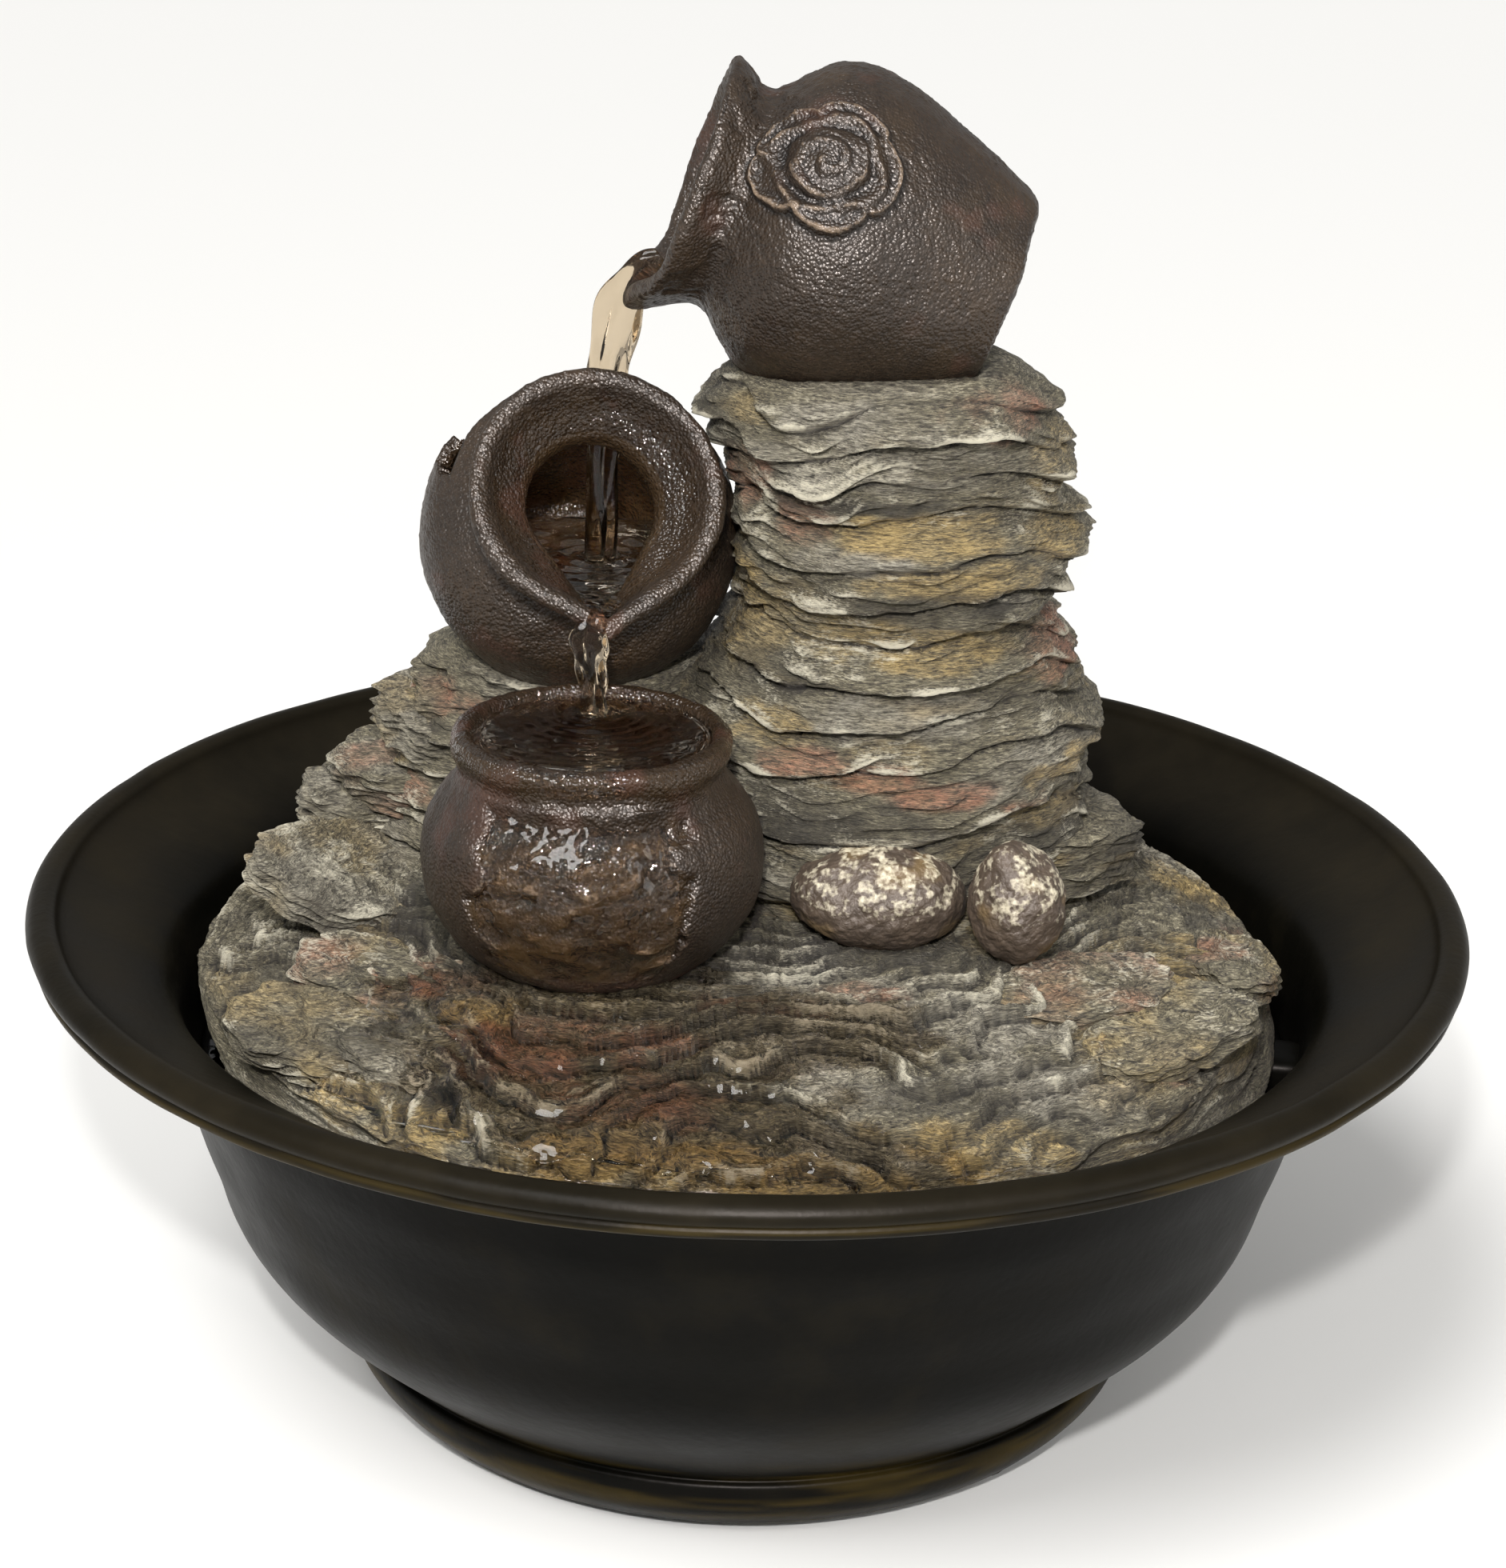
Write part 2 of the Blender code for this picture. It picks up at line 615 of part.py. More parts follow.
def make_volute(x, front, back, axis_z, top):
    """The impeller's housing, open at the back towards the rotor, with the inlet eye in front and the
    outlet nozzle on top."""
    half = PUMP_WIDTH / 2 - COVER_WALL - 0.0015
    low, high = axis_z - half * 0.80, top - COVER_WALL - 0.0008
    volute = box("impeller_housing", (x - half, front, low), (x + half, back, high), "pump_plastic")
    nozzle_low = axis_z + VOLUTE_BORE
    y = (front + back) / 2
    nozzle = cylinder(
        "nozzle", (x, y, high - 0.002), (x, y, top + NOZZLE_LENGTH), NOZZLE_OUTER, steps=24,
    )
    boolean(volute, nozzle, "UNION")
    boolean(volute, cylinder(
        "nozzle_bore", (x, y, nozzle_low - 0.003), (x, y, top + NOZZLE_LENGTH + PASS), NOZZLE_BORE,
        steps=20,
    ))
    boolean(volute, cylinder(
        "volute_bore", (x, front + COVER_WALL * 1.6, axis_z), (x, back + PASS, axis_z), VOLUTE_BORE,
        steps=28,
    ))
    boolean(volute, cylinder(
        "front_bush_socket", (x, front + COVER_WALL - GAP, axis_z), (x, front + 0.006, axis_z),
        BUSH_RADIUS + GAP, steps=20,
    ))
    for index in range(3):
        angle = math.tau * (index / 3 + 0.25)
        at = (x + 0.0062 * math.cos(angle), axis_z + 0.0062 * math.sin(angle))
        boolean(volute, cylinder(
            f"inlet_eye_{index}", (at[0], front - PASS, at[1]), (at[0], front + 0.006, at[1]), 0.0019,
            steps=16,
        ))
    smooth(volute)
    bush_start = front + COVER_WALL
    ring_bush("front_bush", x, axis_z, bush_start, bush_start + FRONT_BUSH_LENGTH)


def make_rotor(x, z, front_bush_y, rear_bush_y):
    """The shaft stays still; the magnet and the impeller turn on it."""
    shaft_start, shaft_end = front_bush_y + 0.0004, rear_bush_y + 0.0036
    cylinder("rotor_shaft", (x, shaft_start, z), (x, shaft_end, z), SHAFT_RADIUS, "ceramic", steps=16)
    bore = (SHAFT_RADIUS + RUNNING_FIT) / math.cos(math.pi / 16)
    wheel_start = front_bush_y + FRONT_BUSH_LENGTH + 2 * GAP
    wheel_end = wheel_start + IMPELLER_DEPTH
    magnet_end = rear_bush_y - 0.0008
    pivot = bpy.data.objects.new("rotor_axis", None)
    PARTS.objects.link(pivot)
    pivot.location = (x, wheel_start, z)
    pivot.rotation_euler = (math.radians(-90), 0, 0)

    length = magnet_end - wheel_end - GAP
    magnet = turned("rotor_magnet", tube_profile(bore, MAGNET_RADIUS, length), "magnet", steps=16)
    magnet.parent = pivot
    magnet.location = (0, 0, wheel_end + GAP - wheel_start)

    hub = tube_profile(bore, BUSH_RADIUS, IMPELLER_DEPTH)
    wheel = turned("impeller", hub, "rotor_plastic", steps=16)
    wheel.parent = pivot
    for index in range(6):
        blade = box(
            f"blade_{index}", (0.0024, -0.0005, 0), (IMPELLER_RADIUS, 0.0005, IMPELLER_DEPTH - 0.0008)
        )
        blade.data.transform(Matrix.Translation(blade.location))
        blade.location = (0, 0, 0)
        blade.data.transform(Matrix.Rotation(math.tau * (index + 0.5) / 6, 4, "Z"))
        blade.data.transform(Matrix.Translation((0, 0, 0.0004)))
        blade.parent = pivot
        boolean(wheel, blade, "UNION")


def make_front_cover(x, y, front, back, bottom, top, axis_z):
    """The strainer cover pulls off forwards: a shell over the impeller housing with inlet slots, a hole
    for the flow dial and a notch that passes the nozzle."""
    half = PUMP_WIDTH / 2
    face = front - COVER_REACH
    cover = box("front_cover", (x - half, face, bottom), (x + half, back, top), "pump_plastic")
    bevel = cover.modifiers.new("Edges", "BEVEL")
    bevel.width = 0.002
    bevel.segments = 2
    wall = COVER_WALL
    inside = box(
        "cover_inside", (x - half + wall, face + wall, bottom + wall),
        (x + half - wall, back + PASS, top - wall),
    )
    boolean(cover, inside)
    notch_half = NOZZLE_OUTER + 0.0008
    boolean(cover, box(
        "nozzle_notch", (x - notch_half, y - notch_half, top - 2 * wall),
        (x + notch_half, back + PASS, top + PASS),
    ))
    boolean(cover, cylinder(
        "dial_hole", (x, face - PASS, axis_z), (x, face + wall + PASS, axis_z), DIAL_STEM + GAP, steps=24
    ))
    for index in range(8):
        offset = (index - 3.5) * PUMP_WIDTH / 9.6
        if abs(offset) < DIAL_RADIUS:
            continue
        boolean(cover, box(
            f"slot_{index}", (x + offset - 0.0011, face - PASS, bottom + 0.005),
            (x + offset + 0.0011, face + wall + PASS, top - 0.005),
        ))
    smooth(cover)
    make_dial(x, face, axis_z)


def make_dial(x, face, axis_z):
    """The flow dial turns in the cover's face, with a raised finger bar."""
    back, front = DIAL_FLANGE
    knob = [
        (0, 0), (DIAL_STEM, 0), (DIAL_STEM, back), (DIAL_RADIUS, back),
        (DIAL_RADIUS, front - 0.0006), (DIAL_RADIUS - 0.0006, front), (0, front),
    ]
    dial = turned("flow_dial", list(reversed(knob)), "rotor_plastic", steps=32)
    dial.rotation_euler = (math.radians(90), 0, 0)
    dial.location = (x, face + COVER_WALL + 0.0010, axis_z)
    bar = box("dial_bar", (-DIAL_RADIUS * 0.8, -0.0011, 0.0050), (DIAL_RADIUS * 0.8, 0.0011, 0.0080))
    bar.data.transform(Matrix.Translation(bar.location))
    bar.location = (0, 0, 0)
    bar.parent = dial
    boolean(dial, bar, "UNION")


def make_cups(x, front, back, half, bottom):
    """Four rubber suction cups under the pump."""
    inset = CUP_RADIUS + 0.002
    names = ("front_left", "front_right", "back_left", "back_right")
    places = [(sx, y) for y in (front + inset, back - inset) for sx in (-1, 1)]
    for name, (side, y) in zip(names, places):
        at = (x + side * (half - inset), y)
        cylinder(
            f"suction_cup_{name}", (*at, FLOOR_Z + GAP), (*at, bottom - GAP), CUP_RADIUS, "rubber",
            end_radius=CUP_RADIUS * 0.5, steps=20,
        )


# ---- riser tube ----------------------------------------------------------------------------------

def make_riser(jug_centre_z):
    """A vinyl tube from the pump's nozzle to the inside of the upper jug, held there by a grommet."""
    bottom, _ = pump_levels()
    start = bottom + PUMP_HEIGHT + 0.0015
    end = jug_centre_z - 0.014
    tube = turned("riser_tube", tube_profile(TUBE_BORE, TUBE_OUTER, end - start), "vinyl", steps=24)
    tube.location = (*TUBE_AT, start)


def grommet_outer():
    return TUBE_OUTER + GAP + 0.0022


def make_grommet(jug_centre_z):
    below = jug_centre_z - JUG_RADIUS / math.cos(UPPER_JUG_TILT)
    ring = tube_profile(TUBE_OUTER + GAP, grommet_outer(), 0.006)
    grommet = turned("riser_grommet", ring, "rubber", steps=24)
    grommet.location = (*TUBE_AT, below + GROMMET_RISE)


def main():
    make_bowl()
    make_pads()
    base = make_rock_base()
    column = make_rock_column(grommet_outer() + 0.001)
    cut_seats(base, column)
    jug_centre_z = make_upper_jug(grommet_outer())
    make_middle_jug()
    make_lower_pot()
    make_pebbles(base)
    make_pump()
    make_riser(jug_centre_z)
    make_grommet(jug_centre_z)


main()
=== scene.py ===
import math
import bpy
import numpy as np
from mathutils import Matrix, Vector


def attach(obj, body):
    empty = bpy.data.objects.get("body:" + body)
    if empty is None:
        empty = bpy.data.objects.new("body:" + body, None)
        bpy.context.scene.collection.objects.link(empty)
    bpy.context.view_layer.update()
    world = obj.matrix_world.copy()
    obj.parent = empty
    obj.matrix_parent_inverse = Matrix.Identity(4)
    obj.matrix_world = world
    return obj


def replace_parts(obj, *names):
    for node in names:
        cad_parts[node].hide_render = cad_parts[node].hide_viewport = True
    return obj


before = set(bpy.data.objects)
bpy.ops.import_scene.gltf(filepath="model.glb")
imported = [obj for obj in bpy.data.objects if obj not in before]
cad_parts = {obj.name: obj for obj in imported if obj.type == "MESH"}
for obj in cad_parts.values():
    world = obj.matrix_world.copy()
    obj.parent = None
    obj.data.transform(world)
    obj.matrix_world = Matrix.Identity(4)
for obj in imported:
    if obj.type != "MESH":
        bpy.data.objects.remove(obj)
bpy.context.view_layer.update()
print("frame loaded:", len(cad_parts), "parts")

# Shapes below are worked out in millimetres and turned to metres when their mesh is made.
milli = 0.001
fullTurn = 2 * math.pi


def smoothStep(low, high, value):
    # 0 below low, 1 above high, and a cubic ease between them
    t = np.clip((value - low) / (high - low), 0, 1)
    return t * t * (3 - 2 * t)


def gridNoise(points, seed):
    # smooth random values from -1 to 1: hashed values on a unit lattice, eased between its corners
    cell = np.floor(points).astype(np.int64)
    ease = points - cell
    ease = ease ** 3 * (ease * (ease * 6 - 15) + 10)
    total = np.zeros(points.shape[:-1])
    for corner in np.ndindex(2, 2, 2):
        at = cell + np.array(corner)
        code = (at[..., 0] * 73856093) ^ (at[..., 1] * 19349663) ^ (at[..., 2] * 83492791)
        code = code ^ (seed * 2654435)
        code = ((code ^ (code >> 13)) * 1274126177) & 0x7fffffff
        value = ((code ^ (code >> 16)) & 0xffff) / 32767.5 - 1
        total += value * np.prod(np.where(np.array(corner), ease, 1 - ease), axis=-1)
    return total


def roughness3(points, size, seed, octaves=3):
    # several sizes of noise added up, each half as large and half as strong as the one before
    scaled = points / np.asarray(size, float)
    total = np.zeros(points.shape[:-1])
    for octave in range(octaves):
        total += gridNoise(scaled * 2 ** octave, seed + octave * 17) / 2 ** octave
    return total


def smoothCurve(points, steps):
    # Catmull-Rom curve through the points, with the same number of steps between each two
    points = np.asarray(points, float)
    ends = np.vstack([2 * points[0] - points[1], points, 2 * points[-1] - points[-2]])
    a, b, c, d = ends[:-3, None], ends[1:-2, None], ends[2:-1, None], ends[3:, None]
    t = np.linspace(0, 1, steps, endpoint=False)[None, :, None]
    bend = (2 * a - 5 * b + 4 * c - d) * t ** 2 + (3 * b - 3 * c + d - a) * t ** 3
    curve = 0.5 * (2 * b + (c - a) * t + bend)
    return np.vstack([curve.reshape(-1, points.shape[1]), points[-1]])


def closeEnds(loop):
    # shuts a tube of points: one more row at each end, drawn together at that end's middle
    first = loop[:1] * 0 + loop[:1].mean(1, keepdims=True)
    last = loop[-1:] * 0 + loop[-1:].mean(1, keepdims=True)
    return np.vstack([first, loop, last])


def closedFaces(rows, columns):
    # two triangles for each cell of a grid whose columns run round and whose end rows are poles
    index = np.arange(rows * columns).reshape(rows, columns)
    index[0] = index[0, 0]
    index[-1] = index[-1, 0]
    index = np.hstack([index, index[:, :1]])
    a, b, c, d = index[:-1, :-1], index[:-1, 1:], index[1:, 1:], index[1:, :-1]
    return np.vstack([np.stack([a, b, c], -1).reshape(-1, 3), np.stack([a, c, d], -1).reshape(-1, 3)])


def makePiece(name, points, faces, masks=None, material=None, body=None):
    # one mesh object from points in millimetres and triangles; triangles of no area are dropped,
    # and all are turned over when the volume they enclose comes out negative
    faces = faces[np.all([faces[:, i] != faces[:, (i + 1) % 3] for i in range(3)], axis=0)]
    points = points.reshape(-1, 3) * milli
    used, faces = np.unique(faces, return_inverse=True)
    faces = faces.reshape(-1, 3)
    points = points[used]
    a, b, c = points[faces[:, 0]], points[faces[:, 1]], points[faces[:, 2]]
    if np.einsum("ij,ij->", a, np.cross(b, c)) < 0:
        faces = faces[:, ::-1]
    mesh = bpy.data.meshes.new(name)
    mesh.vertices.add(len(points))
    mesh.vertices.foreach_set("co", points.astype(np.float32).ravel())
    mesh.loops.add(faces.size)
    mesh.loops.foreach_set("vertex_index", faces.astype(np.int32).ravel())
    mesh.polygons.add(len(faces))
    mesh.polygons.foreach_set("loop_start", np.arange(0, faces.size, 3, dtype=np.int32))
    mesh.update(calc_edges=True)
    mesh.validate()
    mesh.shade_smooth()
    for key, values in (masks or {}).items():
        attribute = mesh.attributes.new(key, "FLOAT", "POINT")
        attribute.data.foreach_set("value", np.clip(values, 0, 1).ravel()[used].astype(np.float32))
    piece = bpy.data.objects.new(name, mesh)
    bpy.context.scene.collection.objects.link(piece)
    if material:
        mesh.materials.append(material)
    if body:
        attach(piece, body)
    return piece


def ripple(grid, rounds=2):
    # how far each point of a height grid stands above its neighbours, with columns that run round
    blurred = grid
    for _ in range(rounds * 3):
        padded = np.vstack([blurred[:1], blurred, blurred[-1:]])
        blurred = (padded[:-2] + padded[2:] + np.roll(blurred, 1, 1) + np.roll(blurred, -1, 1)) / 4
    return grid - blurred


def linear(code):
    # sRGB hex to linear colour
    parts = [int(code[i:i + 2], 16) / 255 for i in (1, 3, 5)]
    return [*(p / 12.92 if p <= 0.04045 else ((p + 0.055) / 1.055) ** 2.4 for p in parts), 1]


def addNode(tree, kind, inputs=None, **settings):
    # a shader node with its settings; an input is a fixed value, or a socket to link from
    node = tree.nodes.new("ShaderNode" + kind)
    for key, value in settings.items():
        setattr(node, key, value)
    for key, value in (inputs or {}).items():
        if isinstance(value, bpy.types.NodeSocket):
            tree.links.new(value, node.inputs[key])
        else:
            node.inputs[key].default_value = value
    return node


def startMaterial(name, **fixed):
    # an empty material with a Principled shader whose fixed values are set on its own sockets
    material = bpy.data.materials.new(name)
    material.use_nodes = True
    tree = material.node_tree
    tree.nodes.clear()
    shader = addNode(tree, "BsdfPrincipled")
    for key, value in fixed.items():
        shader.inputs[key].default_value = value
    addNode(tree, "OutputMaterial", {"Surface": shader.outputs[0]})
    place = addNode(tree, "TexCoord").outputs["Object"]
    return material, tree, shader, place


def ballGrid(rows, columns):
    # latitude v and longitude u of a ball's points, from its lowest point to its highest
    latitude = np.linspace(-math.pi / 2, math.pi / 2, rows)
    longitude = np.linspace(0, fullTurn, columns, endpoint=False)
    return np.meshgrid(latitude, longitude, indexing="ij")


def denseAround(columns, amount=0.4):
    # angles round the +Z axis, closer together at the front, where t = 0
    t = np.linspace(0, fullTurn, columns, endpoint=False)
    return t - amount * np.sin(t) - fullTurn / 4


def blotch(points, spots, seed):
    # ragged spots: each is 1 at its centre and fades out where the distance over its size passes 1
    ragged = roughness3(points, (7, 7, 4), seed)
    total = np.zeros(points.shape[:-1])
    for centre, size in spots:
        away = np.linalg.norm((points - np.array(centre)) / np.array(size), axis=-1)
        total = np.maximum(total, smoothStep(1.15, 0.7, away + 0.28 * ragged))
    return total


def ledge(phase, lip=0.2):
    # sawtooth profile of one layer: rises fast from its foot to the lip, then slopes gently back
    share = phase - np.floor(phase)
    return smoothStep(0, lip, share) * (1 - 0.6 * smoothStep(lip, 1, share))


def slateResin():
    # cast polyester resin painted as slate: washes of grey, ochre and rust, and a dry brush of cream that
    # catches the edges, with painted shade darkening the cracks; matt, but glossy where it is wet
    material, tree, shader, place = startMaterial("castResinPaintedAsSlate", **{"Specular IOR Level": 0.35})
    strata = addNode(tree, "Mapping", {"Vector": place, "Scale": (70, 70, 620)})   # 1.6 mm layers
    hair = addNode(tree, "Mapping", {"Vector": place, "Scale": (160, 160, 1700)})  # 0.6 mm lines
    bands = addNode(tree, "TexNoise", {
        "Vector": strata.outputs[0], "Detail": 6.0, "Roughness": 0.7, "Distortion": 0.6,
    })
    lines = addNode(tree, "TexNoise", {"Vector": hair.outputs[0], "Detail": 4.0, "Roughness": 0.65})
    clouds = addNode(tree, "TexNoise", {"Vector": place, "Scale": 60.0, "Detail": 6.0, "Roughness": 0.62})
    grain = addNode(tree, "TexNoise", {"Vector": place, "Scale": 1300.0, "Detail": 3.0})
    tone = addNode(tree, "Math", {0: bands.outputs["Fac"], 1: lines.outputs["Fac"]}, operation="ADD")
    ramp = addNode(tree, "ValToRGB", {"Fac": addNode(tree, "Math", {
        0: tone.outputs[0], 1: 0.5}, operation="MULTIPLY").outputs[0]})
    stops = ramp.color_ramp.elements
    stops[0].position, stops[0].color = 0.36, linear("#1d1b17")
    stops[1].position, stops[1].color = 0.63, linear("#b3aa90")
    for position, code in ((0.44, "#4a453b"), (0.52, "#756e59")):
        stops.new(position).color = linear(code)
    colour = ramp.outputs["Color"]
    streaky = addNode(tree, "Math", {0: clouds.outputs["Fac"], 1: bands.outputs["Fac"]}, operation="ADD")
    patchy = addNode(tree, "MapRange", {
        "Value": streaky.outputs[0], "From Min": 0.84, "From Max": 1.16, "To Min": 0.12, "To Max": 0.88,
    })
    # each wash: attribute, colour in the cracks, colour where the paint is thick
    washes = [
        ("pale", "#56524a", "#bab3a2"), ("ochre", "#5a4826", "#cfb377"), ("rust", "#4b322a", "#b98468"),
        ("dark", "#141310", "#3f3c36"),
    ]
    for attribute, thin, thick in washes:
        mask = addNode(tree, "Attribute", attribute_name=attribute)
        depth = addNode(tree, "MapRange", {
            "Value": tone.outputs[0], "From Min": 0.8, "From Max": 1.16, "To Min": 0.0, "To Max": 1.0,
        })
        paint = addNode(tree, "Mix", {0: depth.outputs[0], 6: linear(thin), 7: linear(thick)},
                        data_type="RGBA")
        share = addNode(tree, "Math", {0: mask.outputs["Fac"], 1: patchy.outputs[0]}, operation="MULTIPLY")
        colour = addNode(tree, "Mix", {0: share.outputs[0], 6: colour, 7: paint.outputs[2]},
                         data_type="RGBA").outputs[2]
    # painted shade: the cracks are darkened to near black
    painted_crevice_shade = addNode(tree, "Attribute", attribute_name="painted_crevice_shade")
    colour = addNode(tree, "Mix", {0: painted_crevice_shade.outputs["Fac"], 6: colour, 7: linear("#12100d")},
                     data_type="RGBA").outputs[2]
    brush = addNode(tree, "Attribute", attribute_name="cream")
    broken = addNode(tree, "Math", {0: grain.outputs["Fac"], 1: 0.5, 2: lines.outputs["Fac"]},
                     operation="MULTIPLY_ADD")
    edge = addNode(tree, "Math", {0: brush.outputs["Fac"], 1: broken.outputs[0]}, operation="ADD")
    scraped = addNode(tree, "MapRange", {
        "Value": edge.outputs[0], "From Min": 0.98, "From Max": 1.36, "To Min": 0.0, "To Max": 0.93,
    })
    colour = addNode(tree, "Mix", {0: scraped.outputs[0], 6: colour, 7: linear("#dcd4bd")},
                     data_type="RGBA").outputs[2]
    wet = addNode(tree, "Attribute", attribute_name="wet")
    soaked = addNode(tree, "Mix", {0: wet.outputs["Fac"], 6: (1, 1, 1, 1), 7: linear("#b9b0a6")},
                     data_type="RGBA")
    colour = addNode(tree, "Mix", {0: 1.0, 6: colour, 7: soaked.outputs[2]}, data_type="RGBA",
                     blend_type="MULTIPLY").outputs[2]
    tree.links.new(colour, shader.inputs["Base Color"])
    gloss = addNode(tree, "MapRange", {
        "Value": wet.outputs["Fac"], "From Min": 0.0, "From Max": 1.0, "To Min": 0.6, "To Max": 0.12,
    })
    tree.links.new(gloss.outputs[0], shader.inputs["Roughness"])
    height = addNode(tree, "Math", {0: tone.outputs[0], 1: grain.outputs["Fac"]}, operation="ADD")
    bump = addNode(tree, "Bump", {"Strength": 0.85, "Distance": 0.0009, "Height": height.outputs[0]})
    tree.links.new(bump.outputs[0], shader.inputs["Normal"])
    return material


def jugResin(name, base, warm):
    # cast resin with fine sand in it, painted brown like old stoneware: grains about 0.8 mm across
    # stand out and catch the light, with a warm stain rubbed in
    material, tree, shader, place = startMaterial(name, **{"Specular IOR Level": 0.4})
    grit = addNode(tree, "TexVoronoi", {"Vector": place, "Scale": 1400.0})
    soft = addNode(tree, "TexNoise", {"Vector": place, "Scale": 900.0, "Detail": 3.0})
    stain = addNode(tree, "TexNoise", {"Vector": place, "Scale": 42.0, "Detail": 4.0, "Roughness": 0.6})
    stainShare = addNode(tree, "MapRange", {
        "Value": stain.outputs["Fac"], "From Min": 0.42, "From Max": 0.75, "To Min": 0.0, "To Max": 0.6,
    })
    colour = addNode(tree, "Mix", {0: stainShare.outputs[0], 6: linear(base), 7: linear(warm)},
                     data_type="RGBA").outputs[2]
    shade = addNode(tree, "MapRange", {
        "Value": soft.outputs["Fac"], "From Min": 0.3, "From Max": 0.7, "To Min": 0.72, "To Max": 1.25,
    })
    colour = addNode(tree, "Mix", {0: 1.0, 6: colour, 7: shade.outputs[0]}, data_type="RGBA",
                     blend_type="MULTIPLY").outputs[2]
    # stains of amber and pink, then painted shade that darkens the hollows of the relief
    for attribute, tint in (("amber", "#4a3822"), ("pink", "#55372c"), ("painted_crevice_shade", "#0e0a08")):
        mask = addNode(tree, "Attribute", attribute_name=attribute)
        colour = addNode(tree, "Mix", {0: mask.outputs["Fac"], 6: colour, 7: linear(tint)},
                         data_type="RGBA").outputs[2]
    worn = addNode(tree, "Attribute", attribute_name="cream")
    edge = addNode(tree, "Math", {0: worn.outputs["Fac"], 1: soft.outputs["Fac"]}, operation="ADD")
    scraped = addNode(tree, "MapRange", {
        "Value": edge.outputs[0], "From Min": 1.0, "From Max": 1.5, "To Min": 0.0, "To Max": 0.7,
    })
    colour = addNode(tree, "Mix", {0: scraped.outputs[0], 6: colour, 7: linear("#8a7662")},
                     data_type="RGBA").outputs[2]
    tree.links.new(colour, shader.inputs["Base Color"])
    wet = addNode(tree, "Attribute", attribute_name="wet")
    gloss = addNode(tree, "MapRange", {
        "Value": wet.outputs["Fac"], "From Min": 0.0, "From Max": 1.0, "To Min": 0.5, "To Max": 0.1,
    })
    tree.links.new(gloss.outputs[0], shader.inputs["Roughness"])
    height = addNode(tree, "Math", {0: soft.outputs["Fac"], 1: grit.outputs["Distance"]},
                     operation="SUBTRACT")
    bump = addNode(tree, "Bump", {"Strength": 0.6, "Distance": 0.0005, "Height": height.outputs[0]})
    tree.links.new(bump.outputs[0], shader.inputs["Normal"])
    return material


def bowlResin():
    # cast resin with a satin lacquer: nearly black olive, with an antique patina of rust and olive rubbed
    # on in soft clouds, strongest on the lip; the lighter olive towards the foot and over the brim is
    # painted reflection
    material, tree, shader, place = startMaterial(
        "lacqueredResinPatinaAndPaintedReflection", **{"Specular IOR Level": 0.05})
    clouds = addNode(tree, "TexNoise", {"Vector": place, "Scale": 26.0, "Detail": 6.0, "Roughness": 0.62})
    specks = addNode(tree, "TexNoise", {"Vector": place, "Scale": 420.0, "Detail": 3.0})
    ramp = addNode(tree, "ValToRGB", {"Fac": clouds.outputs["Fac"]})
    stops = ramp.color_ramp.elements
    stops[0].position, stops[0].color = 0.36, linear("#050503")
    stops[1].position, stops[1].color = 0.70, linear("#15120a")
    middle = stops.new(0.52)
    middle.color = linear("#090805")
    colour = ramp.outputs["Color"]
    # patina on the lip, with painted reflection of the floor towards the foot, and painted reflection over
    # the brim
    for attribute, tint in (("patina_and_floor_reflection", "#4d3f18"), ("painted_brim_reflection", "#241f15")):
        mask = addNode(tree, "Attribute", attribute_name=attribute)
        share = addNode(tree, "Math", {0: mask.outputs["Fac"], 1: clouds.outputs["Fac"]},
                        operation="MULTIPLY")
        colour = addNode(tree, "Mix", {0: share.outputs[0], 6: colour, 7: linear(tint)},
                         data_type="RGBA").outputs[2]
    tree.links.new(colour, shader.inputs["Base Color"])
    gloss = addNode(tree, "MapRange", {
        "Value": clouds.outputs["Fac"], "From Min": 0.3, "From Max": 0.7, "To Min": 0.34, "To Max": 0.5,
    })
    tree.links.new(gloss.outputs[0], shader.inputs["Roughness"])
    bump = addNode(tree, "Bump", {"Strength": 0.25, "Distance": 0.0003, "Height": specks.outputs["Fac"]})
    tree.links.new(bump.outputs[0], shader.inputs["Normal"])
    return material


